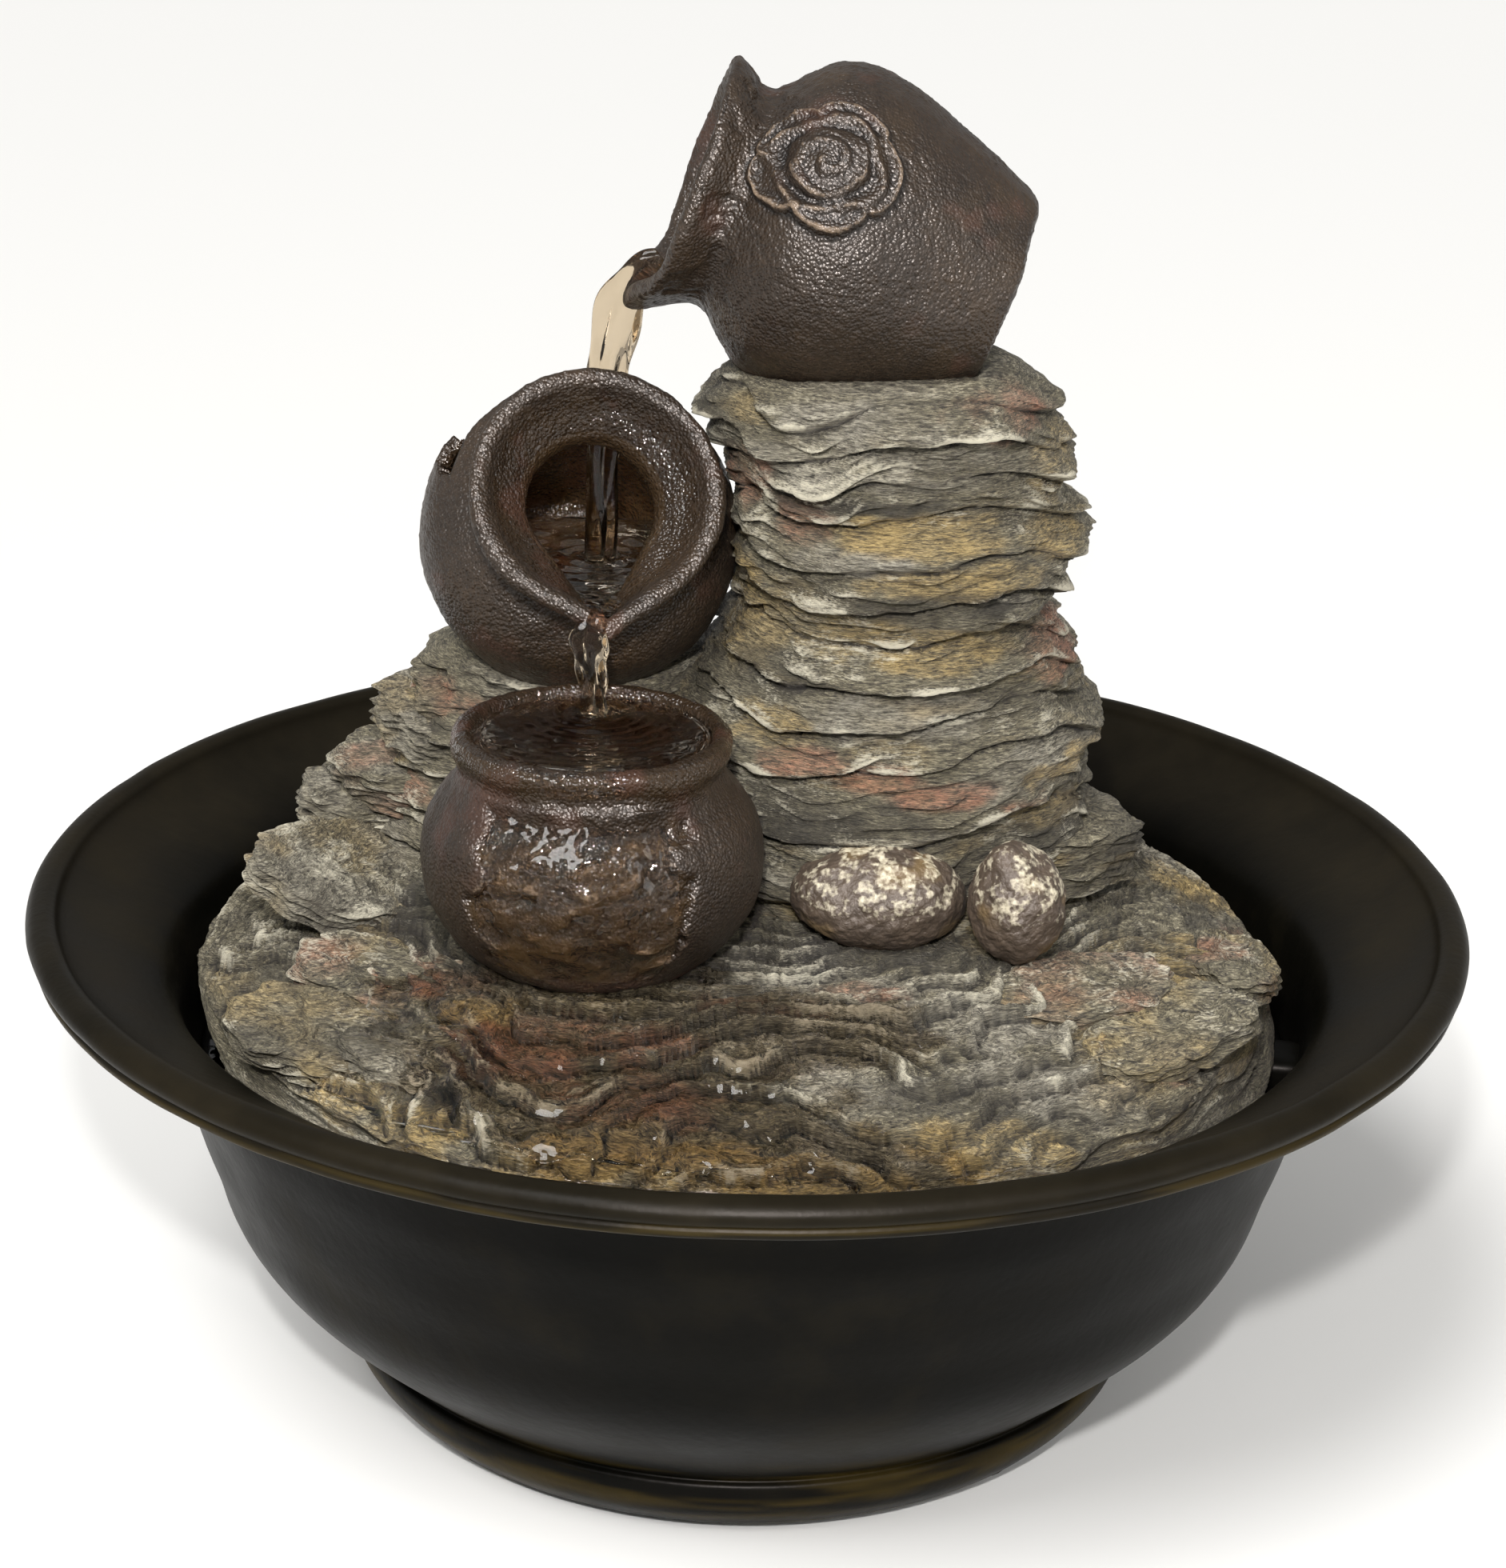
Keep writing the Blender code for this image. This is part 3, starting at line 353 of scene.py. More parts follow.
def pebbleResin():
    # cast resin painted as river stones: brown, with cream and gold scuffed over the top in a fine crackle
    material, tree, shader, place = startMaterial("castResinPaintedAsPebble")
    crackle = addNode(tree, "TexVoronoi", {"Vector": place, "Scale": 520.0}, feature="DISTANCE_TO_EDGE")
    soft = addNode(tree, "TexNoise", {"Vector": place, "Scale": 190.0, "Detail": 6.0, "Roughness": 0.7})
    fine = addNode(tree, "TexNoise", {"Vector": place, "Scale": 900.0, "Detail": 2.0})
    colour = addNode(tree, "Mix", {0: soft.outputs["Fac"], 6: linear("#261e18"), 7: linear("#5d4c3b")},
                     data_type="RGBA").outputs[2]
    gilt = addNode(tree, "Attribute", attribute_name="ochre")
    giltShare = addNode(tree, "Math", {0: gilt.outputs["Fac"], 1: soft.outputs["Fac"]},
                        operation="MULTIPLY")
    colour = addNode(tree, "Mix", {0: giltShare.outputs[0], 6: colour, 7: linear("#8f7442")},
                     data_type="RGBA").outputs[2]
    brush = addNode(tree, "Attribute", attribute_name="cream")
    vein = addNode(tree, "Math", {0: fine.outputs["Fac"], 1: 1.7, 2: 0.1}, operation="MULTIPLY_ADD")
    broken = addNode(tree, "Math", {0: vein.outputs[0], 1: brush.outputs["Fac"]}, operation="ADD")
    scraped = addNode(tree, "MapRange", {
        "Value": broken.outputs[0], "From Min": 1.55, "From Max": 2.2, "To Min": 0.0, "To Max": 0.85,
    })
    colour = addNode(tree, "Mix", {0: scraped.outputs[0], 6: colour, 7: linear("#ddd2b6")},
                     data_type="RGBA").outputs[2]
    tree.links.new(colour, shader.inputs["Base Color"])
    shader.inputs["Roughness"].default_value = 0.62
    height = addNode(tree, "Math", {0: soft.outputs["Fac"], 1: fine.outputs["Fac"]}, operation="ADD")
    cracked = addNode(tree, "Math", {0: height.outputs[0], 1: crackle.outputs["Distance"]},
                      operation="ADD")
    bump = addNode(tree, "Bump", {"Strength": 0.6, "Distance": 0.0006, "Height": cracked.outputs[0]})
    tree.links.new(bump.outputs[0], shader.inputs["Normal"])
    return material


def water(name, tint="#f4f6f4"):
    # clear running water: refraction of 1.33 and a mirror-smooth skin, with ripples in its mesh
    material, tree, shader, place = startMaterial(name, **{
        "Base Color": linear(tint), "Roughness": 0.02, "IOR": 1.333, "Transmission Weight": 1.0,
    })
    wave = addNode(tree, "TexNoise", {"Vector": place, "Scale": 260.0, "Detail": 2.0})
    bump = addNode(tree, "Bump", {"Strength": 0.3, "Distance": 0.0006, "Height": wave.outputs["Fac"]})
    tree.links.new(bump.outputs[0], shader.inputs["Normal"])
    return material


def plainMould(name, dark, light, roughness, grainSize, depth, **fixed):
    # a moulded, turned or sintered surface: grain of the given size in millimetres mixes two shades
    # and stands up by the given depth in millimetres
    material, tree, shader, place = startMaterial(name, **fixed)
    grain = addNode(tree, "TexNoise", {"Vector": place, "Scale": 1000 / grainSize, "Detail": 3.0})
    cloud = addNode(tree, "TexNoise", {"Vector": place, "Scale": 90.0, "Detail": 3.0})
    both = addNode(tree, "Math", {0: grain.outputs["Fac"], 1: cloud.outputs["Fac"]}, operation="MULTIPLY")
    share = addNode(tree, "MapRange", {
        "Value": both.outputs[0], "From Min": 0.1, "From Max": 0.45, "To Min": 0.0, "To Max": 1.0,
    })
    colour = addNode(tree, "Mix", {0: share.outputs[0], 6: linear(dark), 7: linear(light)},
                     data_type="RGBA")
    tree.links.new(colour.outputs[2], shader.inputs["Base Color"])
    gloss = addNode(tree, "MapRange", {
        "Value": cloud.outputs["Fac"], "From Min": 0.3, "From Max": 0.7,
        "To Min": roughness * 0.85, "To Max": roughness * 1.15,
    })
    tree.links.new(gloss.outputs[0], shader.inputs["Roughness"])
    bump = addNode(tree, "Bump", {
        "Strength": 0.4, "Distance": depth * milli, "Height": grain.outputs["Fac"],
    })
    tree.links.new(bump.outputs[0], shader.inputs["Normal"])
    return material


stage = {
    "eye": (0, -0.687115, 0.390622),          # metres
    "right": (0.999696, 0.008230, 0.023223),
    "up": (-0.024633, 0.353869, 0.934970),
    "back": (-0.000523, -0.935259, 0.353965),
    "lens": 80.86,
    "sensorHeight": 36.0,
    "floorSide": 4.0,
    "sky": 0.42,
    "sunStrength": 2.6,
    "sunSpread": 28,                          # degrees
    "sunFrom": (-0.42, -0.55, 1.0),
    # name: place, point aimed at, side in metres, watts, seen only in reflections
    "lamps": {
        "fillLight": ((0.9, -0.6, 0.6), (0, 0, 0.12), 0.6, 3.5, False),
        "cameraLight": ((-0.03, -0.72, 0.56), (0, 0, 0.15), 0.035, 4.5, False),
        "sparkLight": ((0.03, -0.72, 0.60), (0, 0, 0.12), 0.03, 20, True),
    },
    "sparkColour": (1, 0.87, 0.8),
}


def makeStage():
    # camera a little above the bowl, a pale floor, a soft sun, and small lamps beside the camera that
    # make the water glitter
    camera = bpy.data.cameras.new("camera")
    camera.sensor_fit = "VERTICAL"
    camera.sensor_height = stage["sensorHeight"]
    camera.lens = stage["lens"]
    turned = Matrix((stage["right"], stage["up"], stage["back"])).transposed().to_4x4()
    turned.translation = Vector(stage["eye"])
    eye = bpy.data.objects.new("camera", camera)
    eye.matrix_world = turned
    bpy.context.scene.collection.objects.link(eye)
    bpy.context.scene.camera = eye

    floorMesh = bpy.data.meshes.new("floor")
    side = stage["floorSide"]
    corners = [(-side, -side, 0), (side, -side, 0), (side, side, 0), (-side, side, 0)]
    floorMesh.from_pydata(corners, [], [(0, 1, 2, 3)])
    floor = bpy.data.objects.new("floor", floorMesh)
    bpy.context.scene.collection.objects.link(floor)
    paper = startMaterial("mattPaperFloor", **{"Base Color": linear("#eeedea"), "Roughness": 0.9})[0]
    floorMesh.materials.append(paper)

    world = bpy.data.worlds.new("studio")
    world.use_nodes = True
    sky = world.node_tree.nodes["Background"]
    sky.inputs["Color"].default_value = (1, 1, 1, 1)
    sky.inputs["Strength"].default_value = stage["sky"]
    bpy.context.scene.world = world
    bpy.context.scene.view_settings.view_transform = "Standard"
    sun = bpy.data.lights.new("keyLight", "SUN")
    sun.energy = stage["sunStrength"]
    sun.angle = math.radians(stage["sunSpread"])
    sunHolder = bpy.data.objects.new("keyLight", sun)
    sunHolder.matrix_world = Vector(stage["sunFrom"]).to_track_quat("Z", "Y").to_matrix().to_4x4()
    bpy.context.scene.collection.objects.link(sunHolder)
    for name, (at, aim, size, watts, onlyGloss) in stage["lamps"].items():
        lamp = bpy.data.lights.new(name, "AREA")
        lamp.shape = "RECTANGLE"
        lamp.size = size
        lamp.size_y = size
        lamp.energy = watts
        aimed = (Vector(aim) - Vector(at)).to_track_quat("-Z", "Y").to_matrix().to_4x4()
        holder = bpy.data.objects.new(name, lamp)
        holder.matrix_world = Matrix.Translation(at) @ aimed
        if onlyGloss:
            holder.visible_diffuse = False
            lamp.color = stage["sparkColour"]
        bpy.context.scene.collection.objects.link(holder)
    print("stage set")


bowl = {
    "columns": 320,
    # (radius, height) from the middle of the inside floor out over the brim and down to the foot
    "profile": [
        (0, 11), (35, 11), (58, 11), (70, 11.2), (78, 12.7), (84, 17), (91, 24), (98.5, 31),
        (104.3, 38), (107.5, 46), (109.8, 54), (112.5, 62), (115.2, 72), (117.5, 80), (119.2, 88),
        (121, 93), (123.5, 96), (130, 99.6), (138, 103.4), (142.5, 106.6), (143.6, 108.8),
        (144.5, 109.6), (146, 110), (148.4, 109.3), (149.8, 107.4), (149.3, 105.7), (148.3, 104.9),
        (148.8, 104.0), (148.4, 102.8), (146.6, 102.0), (142, 100.6), (135, 98), (128.5, 95.5),
        (125, 93), (123.3, 88), (121.5, 80), (119, 72), (116.2, 62), (113.5, 54), (111.2, 46),
        (108, 39.5), (103, 33), (97.5, 27.5), (91, 21.5), (86.5, 17.5), (84.6, 15.6), (84.2, 14.8),
        (85.3, 14.2), (85.6, 12.6), (85.2, 10), (83.5, 6.5), (81, 3.7), (79.4, 2.2), (77.5, 1.8),
        (72, 1.7), (66, 1.8), (63, 3), (61.5, 6), (58, 6.7), (40, 6.8), (0, 6.8),
    ],
    # blocks that the rockwork stands on
    "lugAngles": [-7.5, 82.5, 172.5, 262.5],
    "lugAt": 111.5,
    "lugHeight": 75.7,
    "lugReach": (7.5, 7, 4),
}


def rounded(value):
    # pushes a sine or cosine outwards, which makes a ball a block with rounded edges
    return np.sign(value) * np.abs(value) ** 0.5


def makeBowl(material):
    # turned profile: x = r cos t, y = r sin t, z = h, with a hand-cast waviness of a few tenths
    profile = smoothCurve(bowl["profile"], 3)
    angle = np.linspace(0, fullTurn, bowl["columns"], endpoint=False)
    r, t = np.meshgrid(profile[:, 0], angle, indexing="ij")
    z = np.repeat(profile[:, 1:2], bowl["columns"], axis=1)
    points = np.stack([r * np.cos(t), r * np.sin(t), z], -1)
    wavy = roughness3(points, 22, 3, 2) * smoothStep(5, 30, r)
    outside = (np.arange(len(profile)) > len(profile) * 0.35)[:, None]
    points[..., 2] += 0.18 * wavy * smoothStep(120, 140, r)
    shrink = 1 - 0.0012 * np.abs(wavy) * outside
    points[..., 0] *= shrink
    points[..., 1] *= shrink
    lip = np.exp(-((z - 103.6) / 1.5) ** 2) * (r > 143)
    streak = smoothStep(-0.4, 0.7, roughness3(points, (30, 30, 2.5), 11, 3))
    masks = {
        # patina on the lip's bead; the lighter olive towards the foot outside is painted reflection of the
        # floor
        "patina_and_floor_reflection": np.clip(1.9 * lip * streak + 0.8 * streak * smoothStep(30, 8, z) * outside, 0, 1),
        # painted reflection: the brim is lighter in olive
        "painted_brim_reflection": smoothStep(118, 134, r) * (z > 92),
    }
    piece = makePiece("bowl_shell", points, closedFaces(*r.shape), masks, material, "bowl")
    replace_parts(piece, "bowl")
    deep, wide, high = bowl["lugReach"]
    v, u = ballGrid(25, 40)
    for number, degrees in enumerate(bowl["lugAngles"], start=1):
        # superellipsoid of power 4, at its angle round the bowl
        local = np.stack([
            bowl["lugAt"] + deep * rounded(np.cos(v)) * rounded(np.cos(u)),
            wide * rounded(np.cos(v)) * rounded(np.sin(u)),
            bowl["lugHeight"] + high * rounded(np.sin(v)),
        ], -1)
        spin = np.array(Matrix.Rotation(math.radians(degrees), 3, "Z"))
        lug = makePiece(f"bowl_lug_{number}", local @ spin.T, closedFaces(25, 40), None, material, "bowl")
    print("bowl made")


jugShape = {
    "length": 66.7,
    "radius": 33.5,
    "columns": 400,
    "bodyFrom": 6,
    "bodyTo": 51.5,
    "bodyRows": 92,
    # (radius, height, pull): pull is how far the spout's point stands out, as a share of the radius
    "outside": [
        (0, 0, 1), (9, 0, 1), (16, 0, 1), (19.2, .5, 1), (21, 2.6, 1), (25.3, 12, 1), (29, 20.7, 1),
        (32.3, 30, 1), (33.5, 38, 1), (32.2, 46, 1), (28.4, 51.6, 1.0), (24.6, 55.6, 1.04),
        (22.9, 58.4, 1.1), (23.2, 61, 1.16), (24.6, 63.2, 1.19), (25.9, 65.2, 1.2), (26.2, 66.9, 1.2),
        (25.4, 67.9, 1.19), (24, 68.1, 1.18), (22.4, 67.2, 1.2), (21, 65.2, 1.26), (19, 63, 1.38),
        (16.4, 61, 1.52), (14.2, 58.8, 1.7), (13.3, 56.2, 1.85),
    ],
    "inside": [
        (13.9, 53.6, 1.75), (17.4, 50.5, 1.4), (22.5, 47.6, 1.12), (27, 44, 1), (29.8, 40, 1),
        (30.4, 36, 1), (29, 30, 1), (25.8, 20.7, 1), (21.8, 12, 1), (18, 4.4, 1), (15, 3, 1),
        (7, 3, 1), (0, 3, 1),
    ],
}

upperJug = {
    "centre": (13.0, 20, 243.6),
    "tilt": 19,
    "turn": -90,
    "pull": 0.62,                    # share of the profile's pull
    "beak": 4.2,                     # how far the spout leans out past the rim's plane
    "rosette": (2.13, 45, 13.5),     # angle round the jug, height along it, and radius
}

middleJug = {
    "centre": (-37.4, 22, 177.7),
    "tilt": 33,
    "turn": 11.5,
    "pull": 1.0,
    "beak": 1.2,
    "breakHeight": 192.6,            # the broken edge, over the floor
}

lowerPot = {
    "foot": (-31.5, -35, 106),
    "columns": 420,
    "front": -1.62,                  # angle of the middle of the water film
    "filmHalf": 0.66,
    "profile": [
        (0, 0), (10, 0), (17.5, 0), (20.3, .7), (23.8, 3), (27.6, 6.7), (30.7, 10.8), (33.2, 15.5),
        (33.95, 20.5), (33.8, 25.5), (32.6, 30.5), (29.6, 35.4), (26.7, 38.6), (25.6, 41), (26.3, 43),
        (27.4, 44.8), (27.7, 46.6), (26.8, 48.3), (25.2, 48.95), (23.9, 48), (23.2, 45), (23, 41.5),
        (26, 37), (29.4, 30.5), (30.7, 20.5), (27.6, 11), (22, 5), (18, 3.6), (9, 3.4), (0, 3.4),
    ],
}


def jugFrame(jug):
    # base and axes of a jug lying on its belly: the spout's direction, its side and its axis
    tilt = math.radians(jug["tilt"])
    turn = math.radians(jug["turn"])
    axis = np.array([math.sin(turn) * math.cos(tilt), -math.cos(turn) * math.cos(tilt), math.sin(tilt)])
    spout = axis * axis[2] - np.array([0, 0, 1])
    spout /= np.linalg.norm(spout)
    side = np.cross(axis, spout)
    base = np.array(jug["centre"]) - axis * 0.57 * jugShape["length"]
    return base, np.array([spout, side, axis])


def pulled(angle, pull):
    # teardrop: over the arc round the spout the radius follows the tangent lines to the drawn-out point
    arc = np.arccos(np.minimum(1, 1 / pull))
    return np.where(np.abs(angle) < arc, 1 / np.cos(arc - np.abs(angle)), 1)


def gridNormals(points):
    # unit normals of a grid whose columns run round the piece
    down = np.gradient(points, axis=0)
    along = np.roll(points, -1, 1) - np.roll(points, 1, 1)
    normal = np.cross(along, down)
    return normal / np.maximum(np.linalg.norm(normal, axis=-1, keepdims=True), 1e-9)


def jugRows():
    # the jug's profile, with rows at the same heights outside and inside along its body
    outer = smoothCurve(jugShape["outside"], 6)
    inner = smoothCurve(jugShape["inside"], 5)
    heights = np.linspace(jugShape["bodyFrom"], jugShape["bodyTo"], jugShape["bodyRows"])
    turnBack = np.argmax(outer[:, 1])
    rising, falling = outer[:turnBack], outer[turnBack:]
    outside, inside = (
        np.stack([np.interp(heights, curve[:, 1], curve[:, 0]), heights,
                  np.interp(heights, curve[:, 1], curve[:, 2])], -1)
        for curve in (rising, inner[::-1]))
    inside = inside[::-1]
    low = rising[rising[:, 1] < heights[0]]
    high = rising[rising[:, 1] > heights[-1]]
    innerHigh = inner[inner[:, 1] > heights[-1]]
    innerLow = inner[inner[:, 1] < heights[0]]
    rows = np.vstack([low, outside, high, falling, innerHigh, inside, innerLow])
    start = len(low)
    back = len(rows) - len(innerLow) - 1     # the inside row that lies under row start
    return rows, start, back


def rosette(angle, height, spot):
    # relief of a rose: three rings of bent petals round a bud, each petal a thick rolled edge over a
    # hollow, inside a border of pointed leaves
    turn, at, size = spot
    across = (angle - turn) * 31
    along = height - at
    away = np.hypot(across, along * 0.92) / size
    way = np.arctan2(along, across)
    spread = roughness3(np.stack([across / 6, along / 6, 0 * away], -1), 1, 77, 2)
    away = away + 0.05 * spread
    tip = np.abs(np.cos(2.5 * way + 0.7)) ** 0.45
    border = 0.80 + 0.22 * tip
    fold = np.exp(-((away - border + 0.08) / 0.07) ** 2)
    leaf = smoothStep(border + 0.04, border - 0.10, away) * (0.55 + 0.75 * fold)
    outer = 0.66 + 0.07 * np.cos(4 * way + 0.9)
    petal = np.exp(-((away - outer) / 0.075) ** 2) * (0.5 + 0.5 * np.abs(np.cos(2 * way + 0.9)) ** 0.5)
    spiral = np.cos(fullTurn * away * 3.3 - way + 0.8)
    bud = smoothStep(0.58, 0.42, away) * (0.45 + 0.6 * smoothStep(-0.1, 0.8, spiral))
    return 1.6 * leaf + 1.3 * petal + 1.2 * bud - 0.6 * np.exp(-((away - 0.55) / 0.07) ** 2)


def brokenFaces(gone, start, back):
    # a jug's faces without the part of its body where gone is true outside: the rows outside and inside
    # face each other, so the cells go in pairs, and walls between the two skins close the edge
    faces = closedFaces(*gone.shape)
    count = jugShape["bodyRows"]
    body = gone[start:start + count]
    index = np.arange(gone.size).reshape(gone.shape)
    outer = index[start:start + count]
    inner = index[back - count + 1:back + 1][::-1]
    cells = body[:-1] & body[1:] & np.roll(body, -1, 1)[:-1] & np.roll(body, -1, 1)[1:]
    kept = ~cells
    rowEdge = kept[:-1] != kept[1:]                      # wall along a row, between two cells
    columnEdge = kept != np.roll(kept, -1, 1)            # wall along a column
    nextOuter = np.roll(outer, -1, 1)
    nextInner = np.roll(inner, -1, 1)
    walls = [
        np.stack([outer[1:-1][rowEdge], nextOuter[1:-1][rowEdge], nextInner[1:-1][rowEdge],
                  inner[1:-1][rowEdge]], -1),
        np.stack([nextOuter[:-1][columnEdge], nextOuter[1:][columnEdge], nextInner[1:][columnEdge],
                  nextInner[:-1][columnEdge]], -1),
    ]
    flips = [kept[1:][rowEdge], ~kept[columnEdge]]
    walls = np.vstack([
        np.where(flip[:, None], wall[:, ::-1], wall) for wall, flip in zip(walls, flips)])
    removed = np.zeros(gone.shape, bool)
    removed[start:start + count - 1] = cells
    removed[back - count + 1:back] = cells[::-1]
    removed = removed[:-1].ravel()
    faces = faces[~np.concatenate([removed, removed])]   # two triangles for each cell
    return np.vstack([faces, walls[:, [0, 1, 2]], walls[:, [0, 2, 3]]])


def makeJug(name, node, jug, material):
    # place = base + x spout + y side + s axis, with x = r(s) m(t) cos t and y = r(s) m(t) sin t, where m
    # is the teardrop; then sand, dents and relief are laid on along the normals
    rows, start, back = jugRows()
    base, axes = jugFrame(jug)
    t = np.linspace(-math.pi, math.pi, jugShape["columns"], endpoint=False)
    radius, angle = np.meshgrid(rows[:, 0], t, indexing="ij")
    pull = 1 + (np.repeat(rows[:, 2:3], len(t), axis=1) - 1) * jug["pull"]
    s = np.repeat(rows[:, 1:2], len(t), axis=1)
    radius = radius * pulled(angle, pull)
    s = s + jug["beak"] * smoothStep(59, 68, s) * smoothStep(0.95, 0.1, np.abs(angle))
    points = np.stack([radius * np.cos(angle), radius * np.sin(angle), s], -1) @ axes + base
    normals = gridNormals(points)
    row = np.arange(len(rows))[:, None] * np.ones_like(angle)
    bodyEnd = start + jugShape["bodyRows"]
    outside = row < bodyEnd + 40
    dent = roughness3(points, 17, 5 + len(name), 3) * 0.5
    sand = np.maximum(gridNoise(points / 0.95, 31), 0) * 0.2 + gridNoise(points / 2.3, 32) * 0.06
    lift = dent + sand
    if "rosette" in jug:
        relief = rosette(angle, s, jug["rosette"]) * outside * smoothStep(22, 26, s) * smoothStep(66, 58, s)
        relief *= 1 + 0.18 * gridNoise(points / 3.1, 8)
        lift = lift + relief
    rough = smoothStep(0.25, 0.8, roughness3(points, 9, 51, 3)) * smoothStep(47, 60, s) * outside
    lift = lift - 0.7 * rough
    near = smoothStep(0, 4, radius)
    points = points + normals * (lift * near)[..., None]
    high = ripple(lift, 2)
    stain = 0.2 * smoothStep(0.3, 1.0, roughness3(points, 12, 71, 3))
    masks = {
        # painted shade: darker where the surface lies below its neighbours
        "painted_crevice_shade": np.clip(-high * 2.2, 0, 0.85),
        "cream": np.clip(high * 1.5, 0, 0.8) + 0.22 * smoothStep(0.1, 0.9, roughness3(points, 11, 61, 2)),
        "amber": np.where(row > bodyEnd + 75, 0.3, stain),
        "pink": 0.32 * smoothStep(0.3, 1.0, roughness3(points, 10, 81, 3)),
        "wet": np.where(row > bodyEnd + 60, 1.0, 0.25),
    }
    faces = closedFaces(*points.shape[:2])
    if "breakHeight" in jug:
        level = jug["breakHeight"] + 2.4 * roughness3(points * np.array([1, 1, 0.2]), 5, 91, 3)
        gone = (points[..., 2] > level) & (s < jugShape["bodyTo"] - 0.8)
        faces = brokenFaces(gone, start, back)
    piece = makePiece(name, points, faces, masks, material, "rockwork")
    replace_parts(piece, node)
    print(name, "made")


def makePot(material):
    # turned profile with a rolled, drooping lip; over the arc behind the water film the wall is rough
    # stone, stepped in from the smooth sides by a ragged edge
    profile = smoothCurve(lowerPot["profile"], 6)
    t = np.linspace(0, fullTurn, lowerPot["columns"], endpoint=False) - math.pi
    radius, angle = np.meshgrid(profile[:, 0], t, indexing="ij")
    z = np.repeat(profile[:, 1:2], len(t), axis=1)
    row = np.arange(len(profile))[:, None] * np.ones_like(angle)
    outside = row < 17 * 6                               # up to the top of the lip
    points = np.stack([radius * np.cos(angle), radius * np.sin(angle), z], -1) + np.array(lowerPot["foot"])
    droop = 1.2 * np.sin(3 * angle + 0.7) + 0.9 * np.sin(5 * angle + 2) + 0.5 * np.sin(9 * angle)
    points[..., 2] += 0.55 * droop * smoothStep(38, 43, z) * outside * smoothStep(48.5, 46, z)
    normals = gridNormals(points)
    fromFront = np.abs((angle - lowerPot["front"] + math.pi) % fullTurn - math.pi)
    ragged = 0.17 * roughness3(points, 7, 15, 3)
    film = smoothStep(lowerPot["filmHalf"] + 0.06, lowerPot["filmHalf"] - 0.03, fromFront + ragged)
    film = film * outside * smoothStep(3, 8, z) * smoothStep(40, 36, z)
    tongue = 0.5 + 0.5 * np.cos(np.clip(fromFront * 1.5, 0, math.pi))
    tongue = tongue * (1 + 0.5 * roughness3(points, 7, 16, 2)) * outside * np.exp(-((z - 40.2) / 2.6) ** 2)
    stone = roughness3(points, (6, 6, 3.5), 25, 3)
    sand = np.maximum(gridNoise(points / 0.95, 31), 0) * 0.16 + gridNoise(points / 2.3, 32) * 0.12
    lift = 0.4 * roughness3(points, 16, 45, 2) + sand + film * (0.95 * stone - 1.5) + 2.4 * tongue
    points = points + normals * (lift * smoothStep(0, 4, radius))[..., None]
    points[..., 2] = np.minimum(points[..., 2], lowerPot["foot"][2] + 49.2)
    high = ripple(lift, 2)
    rim = smoothStep(40, 46, z) * outside
    masks = {
        # painted shade: darker where the surface lies below its neighbours, less under the water film
        "painted_crevice_shade": np.clip(-high * 1.8, 0, 0.85) * (1 - 0.75 * film),
        "cream": np.clip(high * 1.3, 0, 0.6) + 0.3 * rim + 0.3 * film * smoothStep(0.2, 1, stone),
        "amber": np.clip(film * (0.12 + 0.5 * smoothStep(-0.3, 0.8, stone)) + 0.25 * rim, 0, 1),
        "pink": 0.35 * smoothStep(0.2, 1.0, roughness3(points, 12, 81, 3)) * (1 - film),
        "wet": np.clip(film + rim + ~outside * 1.0, 0.2, 1),
    }
    faces = closedFaces(*points.shape[:2])
    piece = makePiece("lower_pot_shell", points, faces, masks, material, "rockwork")
    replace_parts(piece, "lower_pot")
    print("lower pot made")


def vesselRadius(along, jug):
    # outer radius of a vessel at a height along its axis, 0 past its ends
    curve = smoothCurve(np.array(jug)[:, :2], 4)
    curve = curve[:np.argmax(curve[:, 1]) + 1]
    return np.interp(along, curve[:, 1], curve[:, 0], left=0, right=0)


def seatFor(jug, points, lowest, highest):
    # lowers the points that lie over a jug's underside to just below it, so that the rock forms its seat
    base, axes = jugFrame(jug)
    centre = base + axes[2] * 33
    away = np.hypot(points[..., 0] - centre[0], points[..., 1] - centre[1])
    near = (away < 48) & (points[..., 2] > lowest)
    spot = points[near]
    if len(spot):
        levels = np.linspace(lowest, highest, 56)[:, None]
        sample = np.repeat(spot[None, :, :], len(levels), axis=0)
        sample[..., 2] = levels
        local = (sample - base) @ axes.T
        inside = np.hypot(local[..., 0], local[..., 1]) < vesselRadius(local[..., 2], jugShape["outside"])
        first = np.where(inside.any(0), levels[np.argmax(inside, axis=0), 0] - 0.1, highest * 2)
        points[near, 2] = np.minimum(spot[:, 2], first)
    return points


